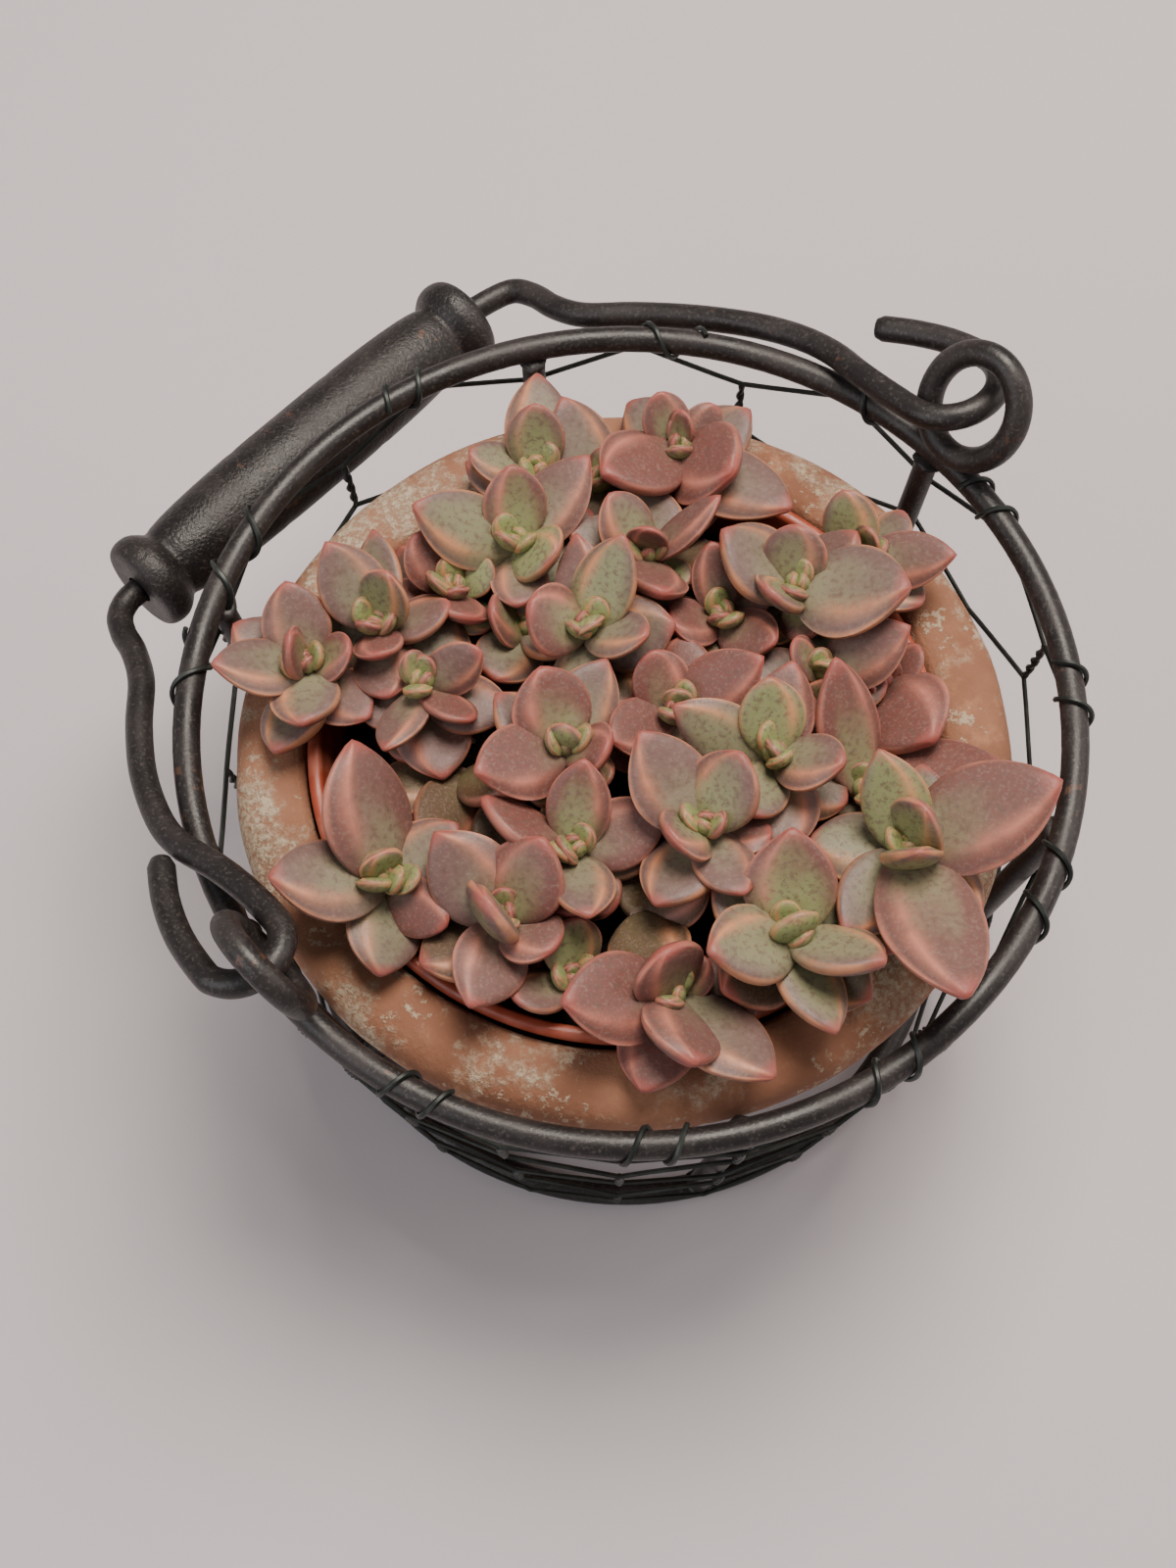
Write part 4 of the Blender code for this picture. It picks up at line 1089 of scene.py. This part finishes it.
@dataclass
class Pots:
    """The clay pot, the nursery pot inside it, and the soil with its pale grains."""

    clay: bpy.types.Material
    plastic: bpy.types.Material
    mix: bpy.types.Material
    perlite: bpy.types.Material
    rim: float = 62.5
    rim_height: float = 11.0
    wall: float = 6.0
    base: float = 45.0
    nursery_rim: float = 50.3
    nursery_top: float = 81.8
    nursery_wall: float = 1.0
    nursery_base: float = 36.0
    edge_drop: float = 9.5
    crown_drop: float = 6.5
    hole: float = 8.0
    nursery_hole: float = 4.0
    steps: int = 144
    uneven: float = 0.3
    soil_cells: int = 110

    @property
    def floor(self) -> float:
        """Height of the clay pot's underside."""
        return STAY_LOW_Z + 2 * FLOOR_ROD_R + GAP + 2 * NET_WIRE_R + GAP

    @property
    def inner_floor(self) -> float:
        """Height of the nursery pot's underside."""
        return self.floor + self.wall + GAP

    def nursery_radius(self, z: float) -> float:
        """Outer radius of the nursery pot's wall at a height."""
        share = (z - self.inner_floor) / (self.nursery_top - self.inner_floor)
        return self.nursery_base + (self.nursery_rim - 1.6 - self.nursery_base) * share

    def soil_radius(self) -> float:
        """Radius of the soil's top."""
        return self.nursery_radius(POT_TOP_Z - self.edge_drop) - self.nursery_wall - GAP

    def soil_top(self, radius: float) -> float:
        """Height of the soil at a distance from the pot's middle."""
        share = radius / self.soil_radius()
        return POT_TOP_Z - self.crown_drop - (self.edge_drop - self.crown_drop) * share ** 2

    def clay_pot(self) -> None:
        """Adds the clay pot, with its thick rim and a little unevenness in the clay."""
        low, top, rim = self.floor, POT_TOP_Z, self.rim
        neck = rim - 3.6
        outer = smoothed([(rim - 10.6, top - 0.7, 0), (rim - 9.0, top - 0.1, 0), (rim - 6.5, top, 0),
                          (rim - 4.0, top - 0.2, 0), (rim - 1.2, top - 1.8, 0), (rim, top - 4.6, 0),
                          (rim - 0.6, top - 8.4, 0), (rim - 1.6, top - self.rim_height + 0.6, 0)], 5)
        side = [(neck + 0.2, top - self.rim_height), (neck - 0.6, top - self.rim_height - 1.5),
                (self.base + 1.6, low + 2.4), (self.base + 0.9, low + 0.7), (self.base - 0.4, low),
                (self.hole, low), (self.hole, low + self.wall),
                (self.base - self.wall - 1.0, low + self.wall), (neck - self.wall - 1.0, top - 14.0),
                (rim - 11.4, top - 6.0), (rim - 11.6, top - 2.2)]
        long: list[Point] = []
        for (r0, z0), (r1, z1) in zip(side, side[1:]):
            count = max(1, int(math.hypot(r1 - r0, z1 - z0) / 4.0))
            long += [(r0 + (r1 - r0) * k / count, z0 + (z1 - z0) * k / count) for k in range(count)]
        shape = spun([(p.x, p.y) for p in outer] + long + [side[-1]], self.steps, POT_OFFSET)
        for vert in shape.verts:
            outward = Vector((vert.co.x - POT_OFFSET[0], vert.co.y - POT_OFFSET[1], 0)).normalized()
            vert.co -= outward * self.uneven * (noise.noise(vert.co * 0.08) + 1) * (vert.co.z > low + 4)
        add_node("clay_pot_body", shape, self.clay, ["clay_pot"])

    def nursery_pot(self) -> None:
        """Adds the thin plastic pot with its rolled lip."""
        low, top, rim, wall = self.inner_floor, self.nursery_top, self.nursery_rim, self.nursery_wall
        outer = self.nursery_radius(top - 3.0)
        lip = smoothed([(rim - 1.9, top - 0.15, 0), (rim - 1.4, top, 0), (rim - 0.7, top - 0.05, 0),
                        (rim - 0.1, top - 0.6, 0), (rim, top - 1.3, 0), (rim - 0.3, top - 2.2, 0)], 4)
        profile = [(p.x, p.y) for p in lip] + [
            (outer, top - 2.7), (outer - 0.1, top - 3.2), (self.nursery_base, low), (self.nursery_hole, low),
            (self.nursery_hole, low + wall), (self.nursery_base - wall, low + wall),
            (outer - wall, top - 3.6), (rim - 2.3, top - 2.2), (rim - 2.35, top - 0.9)]
        shape = spun(profile, self.steps, POT_OFFSET)
        add_node("nursery_pot_shell", shape, self.plastic, ["nursery_pot"])

    def soil(self) -> None:
        """Adds the soil, its top heaped and crumbled."""
        low, edge = self.inner_floor + self.nursery_wall + GAP, self.soil_radius()
        shape = bmesh.new()
        bmesh.ops.create_grid(shape, x_segments=self.soil_cells, y_segments=self.soil_cells, size=edge)
        outside = [face for face in shape.faces if face.calc_center_median().to_2d().length > edge - 0.4]
        bmesh.ops.delete(shape, geom=outside, context="FACES")
        for vert in (vert for vert in shape.verts if vert.is_boundary):
            vert.co = vert.co.normalized() * edge
        for vert in shape.verts:
            radius = vert.co.to_2d().length
            crumb = noise.noise(vert.co * 0.5) * 0.7 + noise.noise(vert.co * 1.4) * 0.45
            vert.co.z = self.soil_top(radius) + crumb * min(1.0, (edge - radius) / 3) - 0.3
        walls = bmesh.ops.extrude_edge_only(shape, edges=[e for e in shape.edges if e.is_boundary])["geom"]
        for vert in (item for item in walls if isinstance(item, bmesh.types.BMVert)):
            flat = vert.co.to_2d().normalized() * (self.nursery_base - self.nursery_wall - GAP)
            vert.co = Vector((flat.x, flat.y, low))
        bmesh.ops.contextual_create(shape, geom=[e for e in shape.edges if e.is_boundary])
        bmesh.ops.translate(shape, verts=shape.verts, vec=(*POT_OFFSET, 0.0))
        add_node("soil_heap", shape, self.mix, ["soil"])

    def grains(self, name: str, look: bpy.types.Material, count: int, sizes: Point,
               seed: int) -> None:
        """Scatters crumbs or perlite over the soil.

        Args:
            name: the piece's name.
            look: the grains' material.
            count: how many grains there are.
            sizes: the smallest and the largest radius.
            seed: the seed of their places.
        """
        rng = random.Random(seed)
        pebble = bmesh.new()
        bmesh.ops.create_icosphere(pebble, subdivisions=2, radius=1.0)
        data = stock(pebble)
        shape = bmesh.new()
        for _ in range(count):
            radius, turn = (self.soil_radius() - 1.5) * math.sqrt(rng.random()), rng.uniform(0, 360)
            size = rng.uniform(*sizes)
            centre = polar(radius, turn, self.soil_top(radius) + 0.3 * size) + Vector((*POT_OFFSET, 0.0))
            for vert in copy_in(shape, data):
                spot = centre + vert.co * size
                vert.co = spot + (spot - centre) * 0.6 * noise.noise(spot / size * 0.7)
        bpy.data.meshes.remove(data)
        add_node(name, shape, look)

    def build(self) -> None:
        """Adds the pots, the soil and its grains."""
        self.clay_pot()
        self.nursery_pot()
        self.soil()
        self.grains("soil_crumbs", self.mix, 900, (0.3, 0.9), 11)
        self.grains("perlite_grains", self.perlite, 70, (0.3, 0.75), 5)


# Plant


@dataclass
class Leaf:
    """One thick leaf: where it starts, how it points, and its size."""

    base: Vector
    azimuth: float
    pitch: float
    length: float
    width: float
    small: bool
    # deep marks a leaf of the lower tier, which takes painted shade
    deep: bool = False
    ridge: float = 0.5

    @property
    def axes(self) -> tuple[Vector, Vector, Vector]:
        """The leaf's own directions.

        Returns:
            Along it, to its side and up.
        """
        turn, rise = math.radians(self.azimuth), math.radians(self.pitch)
        along = Vector((math.cos(turn) * math.cos(rise), math.sin(turn) * math.cos(rise), math.sin(rise)))
        side = Vector((-math.sin(turn), math.cos(turn), 0.0))
        return along, side, along.cross(side)

    @staticmethod
    def outline(share: float) -> float:
        """Half width over the leaf's length. The last number brings its widest to about one."""
        return (0.06 + 0.94 * share) ** 0.72 * (1 - share) ** 0.52 / 0.431

    @staticmethod
    def belly(share: float) -> float:
        """Thickness over the leaf's length. The last number brings its thickest to about one."""
        return (0.12 + 0.88 * share) ** 0.45 * (1 - share) ** 0.42 / 0.552

    @property
    def thick(self) -> float:
        """The leaf's greatest thickness."""
        return max(self.width * LEAF_THICK, LEAF_LEAST)

    @property
    def youth(self) -> float:
        """How young it looks: the smallest leaves and then the steepest ones are the youngest."""
        if self.length < SMALL_LEAF:
            return 1.0 if self.length < 6.5 else 0.75
        return 0.45 if self.pitch >= 34 else 0.05

    def faceted(self, grow: float = 0.0, start: float = 0.0) -> tuple[list[Vector], list[list[int]]]:
        """The frame's plain form of this leaf, which the bed is settled with.

        Args:
            grow: how far it swells all round.
            start: the share of the length that is left out at the base.

        Returns:
            Its corners and its faces.
        """
        along, side, up = self.axes
        rings, sides = ((0.0, 0.55), 4) if self.small else ((0.0, 0.36, 0.76), 6)
        points: list[Vector] = []
        for share in (start + (1 - start) * ring for ring in rings):
            half = self.width / 2 * self.outline(share) + grow
            for i in range(sides):
                angle = 2 * math.pi * i / sides
                deep = self.thick * self.belly(share) * (0.42 if math.sin(angle) > 0 else 0.58) + grow
                points.append(self.base + along * (self.length * share) + side * half * math.cos(angle)
                              + up * (deep * math.sin(angle) + LEAF_LIFT * self.length * share * share))
        points.append(self.base + along * (self.length + grow) + up * LEAF_LIFT * self.length)
        faces = [list(range(sides))[::-1]]
        for ring in range(len(rings) - 1):
            a, b = ring * sides, (ring + 1) * sides
            faces += [[a + i, a + (i + 1) % sides, b + (i + 1) % sides, b + i] for i in range(sides)]
        last = (len(rings) - 1) * sides
        faces += [[last + i, last + (i + 1) % sides, len(points) - 1] for i in range(sides)]
        return points, faces

    def fleshy(self, verts: Sequence[bmesh.types.BMVert], seed: float) -> list[Triple]:
        """Shapes a unit sphere to the finished leaf: full below, flat above as far as a ridge along one side.

        Args:
            verts: the sphere's corners.
            seed: a number for its own small unevenness.

        Returns:
            For each corner, its share of the length and its nearness to the margin and to the ridge.
        """
        along, side, up = self.axes
        roll = math.radians(46.0 * noise.noise(Vector((seed, 0.3, 1.7))) + (12.0 if seed % 2 < 1 else -12.0))
        keel = 1.0 if seed * 1.7 % 2 < 1 else -1.0
        across = side * math.cos(roll) + up * math.sin(roll)
        over = up * math.cos(roll) - side * math.sin(roll)
        bend = 0.05 * self.length * noise.noise(Vector((seed, 2.3, 0.7)))
        length, width = self.length * 1.03, self.width * (1.0 if self.small else 1.13)
        blunt = 0.8 - 0.24 * min(max((15.0 - self.length) / 5.0, 0.0), 1.0)
        widest = 0.75 / (0.75 + blunt)
        swell_to = 1.0 / (widest ** 0.75 * (1 - widest) ** blunt)
        marks = []
        for vert in verts:
            x, y, z = vert.co
            polar_share = math.acos(max(-1.0, min(1.0, -z))) / math.pi
            share = min(max(0.6 * polar_share + 0.4 * (0.5 + z * 0.5), 0.0), 1.0)
            angle = math.atan2(y, x)
            wide, tall = math.cos(angle), math.sin(angle)
            half = width / 2 * swell_to * (0.05 + 0.95 * share) ** 0.75 * (1 - share) ** blunt
            point = 1.4 * (blunt - 0.55) * math.exp(-((1 - share) / 0.03) ** 2)
            lens = min(tall ** 0.7, (1 - keel * wide) / (1 - self.ridge)) if tall > 0 else -abs(tall) ** 0.95
            deep = self.thick * self.belly(share) * (0.4 if tall > 0 else 0.62)
            dish = 0.08 * self.thick * (1 - wide * wide) * math.sin(math.pi * share) if tall > 0 else 0.0
            swell = 0.018 * width * noise.noise(Vector((share * 3 + seed, wide, tall)))
            vert.co = (self.base + along * (length * share + point)
                       + across * (half * wide + bend * math.sin(math.pi * share))
                       + over * (deep * lens - dish + swell * (1 - share))
                       + up * LEAF_LIFT * self.length * share * share)
            # nearness to the ridge, which carries only the painted ridge highlight
            ridge_highlight = math.exp(-((keel * wide - self.ridge - 0.05) / 0.15) ** 2) if tall > 0 else 0.0
            marks.append((share, abs(wide), ridge_highlight))
        return marks


class Solid(NamedTuple):
    """A settled stem or leaf that the next leaves keep clear of."""

    owner: str
    is_leaf: bool
    base: Vector
    reach: float
    tree: BVHTree


def changes(pitches: Sequence[float], azimuths: Sequence[float], sizes: Sequence[float]) -> list[Triple]:
    """Every change of pitch, azimuth and size that a leaf may take, the smallest first."""
    return sorted(product(pitches, azimuths, sizes),
                  key=lambda c: abs(c[0]) / 11 + abs(c[1]) / 9 + (1 - c[2]) * 9)


@dataclass
class SedumBed:
    """Every rosette of the plant, settled the same way as the frame's solids."""

    look: bpy.types.Material
    pots: Pots
    stem_radius: float = 1.5
    clear: float = 0.35
    reach: float = 62.3
    lip_clear: float = 1.3
    rim_rise: float = 0.6
    ground_clear: float = 0.5
    ring_clear: float = 0.6
    least_rise: float = 4.0
    foot_share: float = 0.9
    foot_reach: float = 41.0
    stem_depth: float = 6.0
    own_start: float = 0.45
    tiers: tuple[tuple[float, ...], ...] = ((3.4, 60.0, 6.0, 14.0, 10.5), (7.5, 0.0, 4.0, 14.0, 11.0))
    bud_leaves: tuple[tuple[float, ...], ...] = ((0, 50, 6.2, 4.6), (172, 56, 5.6, 4.4), (84, 70, 4.0, 3.2),
                                                 (262, 74, 3.6, 3.0))
    leaf_stock: bpy.types.Mesh | None = None
    bud_stock: bpy.types.Mesh | None = None

    def crown(self, name: str) -> Vector:
        """The point that a rosette's leaves start from."""
        x, y, rise = ROSETTES[name][0]
        return Vector((x + POT_OFFSET[0], y + POT_OFFSET[1], POT_TOP_Z + rise))

    def stem(self, name: str) -> tuple[Vector, Vector]:
        """A rosette's stem, which leans out from nearer the pot's middle.

        Args:
            name: the rosette's name.

        Returns:
            Its bottom in the soil and its top at the crown.
        """
        top = self.crown(name)
        x, y = top.x - POT_OFFSET[0], top.y - POT_OFFSET[1]
        out = math.hypot(x, y)
        foot = min(out * self.foot_share, self.foot_reach)
        share = foot / out if out else 0.0
        surface = Vector((POT_OFFSET[0] + x * share, POT_OFFSET[1] + y * share, self.pots.soil_top(foot)))
        return surface - (top - surface).normalized() * self.stem_depth, top

    def stem_solid(self, name: str, radius: float) -> tuple[list[Vector], list[list[int]]]:
        """A rosette's stem as a plain six-sided solid.

        Args:
            name: the rosette's name.
            radius: the solid's radius.

        Returns:
            Its corners and its faces.
        """
        bottom, top = self.stem(name)
        along = (top - bottom).normalized()
        side = along.orthogonal().normalized()
        other = along.cross(side)
        points = [centre + (side * math.cos(math.pi * i / 3) + other * math.sin(math.pi * i / 3)) * radius
                  for centre in (bottom, top) for i in range(6)]
        faces = [list(range(6))[::-1], list(range(6, 12))]
        return points, faces + [[i, (i + 1) % 6, 6 + (i + 1) % 6, 6 + i] for i in range(6)]

    def has_room(self, points: Iterable[Vector]) -> bool:
        """Tells whether a leaf keeps clear of the rims, the soil, the top ring and the bail's path.

        Args:
            points: the leaf's corners.

        Returns:
            True where no corner reaches into them.
        """
        for point in points:
            radius = math.hypot(point.x - POT_OFFSET[0], point.y - POT_OFFSET[1])
            inside = radius < self.pots.nursery_radius(point.z) - self.pots.nursery_wall - self.lip_clear
            ground = self.pots.soil_top(radius) if inside else POT_TOP_Z + self.rim_rise
            ring = math.hypot(math.hypot(point.x, point.y) - TOP_RING_R, point.z - TOP_RING_Z)
            low = point.z < ground + self.ground_clear
            if low or ring < WIRE_R + self.ring_clear or abs(point.dot(HINGE_AXIS)) > self.reach:
                return False
        return True

    @staticmethod
    def near(solids: Sequence[Solid], base: Vector, length: float) -> list[Solid]:
        """The solids that a leaf of this length could reach from its base."""
        return [s for s in solids if (s.base - base).length < s.reach + length + 4]

    def settled(self) -> dict[str, list[Leaf]]:
        """Gives every leaf its place, by the smallest change of pitch, azimuth or size that keeps it clear.

        Returns:
            The settled leaves by rosette, with the low ones.
        """
        moves = changes((0, 6, -6, 12, -12, 18, -18, 26, 34, 44), (0, 8, -8, 16, -16, 25, -25),
                        (1.0, 0.9, 0.8, 0.68))
        solids: list[Solid] = []
        for name in ROSETTES:
            bottom, top = self.stem(name)
            tree = BVHTree.FromPolygons(*self.stem_solid(name, self.stem_radius + self.clear))
            solids.append(Solid(name, False, top, (top - bottom).length, tree))
        found: dict[str, list[Leaf]] = {name: [] for name in ROSETTES}
        for order in range(max(len(leaves) for _, leaves in ROSETTES.values())):
            for name, (_, leaves) in ROSETTES.items():
                if order >= len(leaves):
                    continue
                azimuth, pitch, length, width = leaves[order]
                small = length < SMALL_LEAF
                base = self.crown(name) - Vector((0, 0, 0.0 if small else 0.4 * order + 0.3))
                near = self.near(solids, base, length)
                for rise, turn, size in moves:
                    leaf = Leaf(base, azimuth + turn, pitch + rise, length * size, width * size, small)
                    body = leaf.faceted(grow=self.clear)
                    if not self.has_room(body[0]):
                        continue
                    tree = BVHTree.FromPolygons(*body)
                    if any(s.owner != name and tree.overlap(s.tree) for s in near):
                        continue
                    outer = BVHTree.FromPolygons(*leaf.faceted(start=self.own_start))
                    if any(s.owner == name and s.is_leaf and outer.overlap(s.tree) for s in near):
                        continue
                    found[name].append(leaf)
                    solids.append(Solid(name, True, base, length, BVHTree.FromPolygons(*leaf.faceted())))
                    break
        self.low_leaves(found, solids)
        return found

    def low_leaves(self, found: dict[str, list[Leaf]], solids: list[Solid]) -> None:
        """Fills in under the taller crowns with two tiers of three low leaves, where there is room.

        Args:
            found: the leaves placed so far by rosette, which grows.
            solids: what they have to keep clear of, which grows.
        """
        moves = changes((0, 7, -7, 14, -14, 22), (0, 15, -15, 30, -30), (1.0, 0.86, 0.72, 0.58))
        for drop, offset, pitch, length, width in self.tiers:
            for side in range(3):
                for name, ((_, _, rise), listed) in ROSETTES.items():
                    base = self.crown(name) - Vector((0, 0, drop))
                    if rise < self.least_rise:
                        continue
                    near = [s for s in self.near(solids, base, length) if s.owner != name or s.is_leaf]
                    for lift, turn, size in moves:
                        azimuth = listed[0][0] + offset + 120 * side + turn
                        leaf = Leaf(base, azimuth, pitch + lift, length * size, width * size, False, drop > 5)
                        body = leaf.faceted(grow=0.1)
                        if not self.has_room(body[0]):
                            continue
                        tree = BVHTree.FromPolygons(*body)
                        outer = BVHTree.FromPolygons(*leaf.faceted(start=self.own_start))
                        if any((outer if s.owner == name else tree).overlap(s.tree) for s in near):
                            continue
                        found[name].append(leaf)
                        solids.append(Solid(name, True, base, length, BVHTree.FromPolygons(*leaf.faceted())))
                        break

    def rosette(self, name: str, leaves: Sequence[Leaf], number: int) -> None:
        """Adds one rosette: its stem, its leaves and the bud in its middle.

        Args:
            name: the CAD node that it replaces.
            leaves: its settled leaves.
            number: its place in the table, which seeds its colours.
        """
        shape = bmesh.new()
        bottom, top = self.stem(name)
        middle = bottom.lerp(top, 0.5) + Vector((0.3, -0.2, 0.0))
        route = smoothed([bottom, middle, top + (top - bottom).normalized() * 0.6], 5)
        sweep(shape, route, self.stem_radius * 0.95, 12)
        forms = [(0.35, 0.0, 0.0)] * len(shape.verts)
        # the stem takes painted shade at 0.6 in the last channel
        kinds = [(0.6, 0.0, 0.6)] * len(shape.verts)
        low = 1.0 if name in LOW_SHADED_ROSETTES else 0.0
        red = 1.0 if name in RED_ROSETTES else 0.0
        heart, spin = self.crown(name) + Vector((0, 0, 0.2)), 40.0 + number * 53
        bud = [] if low else [Leaf(heart, spin + turn, pitch, length, width, True)
                              for turn, pitch, length, width in self.bud_leaves]
        rng = random.Random(number)
        greener = rng.uniform(-0.25, 0.3)
        for order, leaf in enumerate([*leaves, *bud]):
            tone = min(1.0, max(red, rng.uniform(0.0, 1.0) - greener))
            # painted shade: full on the low rosettes, 0.85 on the deep lower-tier leaves
            painted_shade = max(low, 0.85 if leaf.deep else 0.0)
            marks = leaf.fleshy(copy_in(shape, self.bud_stock if leaf.small else self.leaf_stock),
                                number * 3.1 + order * 1.3)
            forms += marks
            youth = min(1.0, max(0.0, leaf.youth + greener * 0.5)) * (1 - red)
            kinds += [(tone, youth, painted_shade)] * len(marks)
        obj = add_node(f"{name}_rosette", shape, self.look, [name], angle=75.0)
        for attribute, values in (("leaf_form", forms), ("leaf_kind", kinds)):
            layer = obj.data.attributes.new(attribute, "FLOAT_COLOR", "POINT")
            layer.data.foreach_set("color", [part for value in values for part in (*value, 1.0)])

    def build(self) -> None:
        """Adds every rosette."""
        self.leaf_stock, self.bud_stock = stock_sphere(32, 24), stock_sphere(20, 14)
        for number, (name, leaves) in enumerate(self.settled().items()):
            self.rosette(name, leaves, number)
        bpy.data.meshes.remove(self.leaf_stock)
        bpy.data.meshes.remove(self.bud_stock)


# Studio


@dataclass
class Studio:
    """A pale floor and backdrop, soft lights, and the camera at the photograph's angle."""

    floor_look: bpy.types.Material
    elevation: float = 66.57
    distance: float = 350.96
    target: Triple = (0.16, -21.97, 85.0)
    lens: float = 51.75
    half: float = 1.6
    glow: str = "#eeeaea"
    glow_power: float = 0.3
    lamps: tuple[tuple[str, Triple, float, float, str], ...] = (
        ("overhead", (0.12, 0.25, 0.95), 0.5, 13.5, "#fff4e8"),
        ("front_left", (-0.75, -0.45, 0.7), 0.8, 4.5, "#f8f6fa"),
        ("right", (0.8, 0.1, 0.5), 0.6, 2.5, "#fff2ea"))

    def floor(self) -> None:
        """Adds the floor, which turns up into the backdrop far behind."""
        shape = bmesh.new()
        bmesh.ops.create_grid(shape, x_segments=2, y_segments=2, size=self.half)
        back = [edge for edge in shape.edges if all(vert.co.y > self.half - 0.01 for vert in edge.verts)]
        made = bmesh.ops.extrude_edge_only(shape, edges=back)["geom"]
        rising = [item for item in made if isinstance(item, bmesh.types.BMVert)]
        bmesh.ops.translate(shape, verts=rising, vec=(0, 0, self.half))
        fold = [edge for edge in shape.edges
                if all(abs(vert.co.y - self.half) < 0.001 and vert.co.z < 0.01 for vert in edge.verts)]
        bmesh.ops.bevel(shape, geom=fold, offset=0.5, segments=12, profile=0.5, affect="EDGES", material=-1)
        data = bpy.data.meshes.new("studio_floor")
        shape.to_mesh(data)
        shape.free()
        data.materials.append(self.floor_look)
        data.shade_smooth()
        obj = bpy.data.objects.new("studio_floor", data)
        bpy.context.scene.collection.objects.link(obj)

    def light(self, name: str, place: Triple, size: float, power: float, colour: str) -> None:
        """Adds one soft light that faces the plant.

        Args:
            name: the light's name.
            place: where it hangs, in metres.
            size: its width in metres.
            power: its watts.
            colour: its sRGB hex colour.
        """
        data = bpy.data.lights.new(name, "AREA")
        data.shape = "DISK"
        data.size = size
        data.energy = power
        data.color = linear(colour)[:3]
        obj = bpy.data.objects.new(name, data)
        obj.location = place
        obj.rotation_euler = (Vector((0, 0, 0.08)) - Vector(place)).to_track_quat("-Z", "Y").to_euler()
        bpy.context.scene.collection.objects.link(obj)

    def lights(self) -> None:
        """Adds a broad light overhead, a softer one from the front left, and the room's glow."""
        for lamp in self.lamps:
            self.light(*lamp)
        world = bpy.context.scene.world or bpy.data.worlds.new("room")
        bpy.context.scene.world = world
        world.use_nodes = True
        glow = world.node_tree.nodes["Background"]
        glow.inputs["Color"].default_value = linear(self.glow)
        glow.inputs["Strength"].default_value = self.glow_power

    def camera(self) -> None:
        """Adds the camera."""
        data = bpy.data.cameras.new("photo_camera")
        data.lens = self.lens
        data.sensor_width = 36.0
        obj = bpy.data.objects.new("photo_camera", data)
        rise = math.radians(self.elevation)
        target = Vector(self.target)
        place = target + Vector((0, -math.cos(rise), math.sin(rise))) * self.distance
        obj.location = place * MM
        obj.rotation_euler = (target - place).to_track_quat("-Z", "Y").to_euler()
        bpy.context.scene.collection.objects.link(obj)
        bpy.context.scene.camera = obj

    def build(self) -> None:
        """Adds the whole studio."""
        self.floor()
        self.lights()
        self.camera()


def main() -> None:
    """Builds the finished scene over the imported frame."""
    logging.basicConfig(level=logging.INFO, format="%(name)s: %(message)s")
    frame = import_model()
    wire, netting = PaintedWire().build(), NettingPaint().build()
    basket = WireBasket(wire)
    basket.build()
    ChickenWire(netting, basket).build(frame["nodes"]["netting_floor"])
    Bail(wire, PaintedWire("dark_cast_enamel", "#181515", "#292423", relief=0.3).build()).build()
    pots = Pots(WeatheredClay().build(), NurseryPlastic().build(), PottingMix().build(), PaleGrain().build())
    pots.build()
    SedumBed(SedumSkin().build(), pots).build()
    Studio(PaleFloor().build()).build()
    log.info("frame nodes: %d", len(frame["nodes"]))


if __name__ == "__main__":
    main()
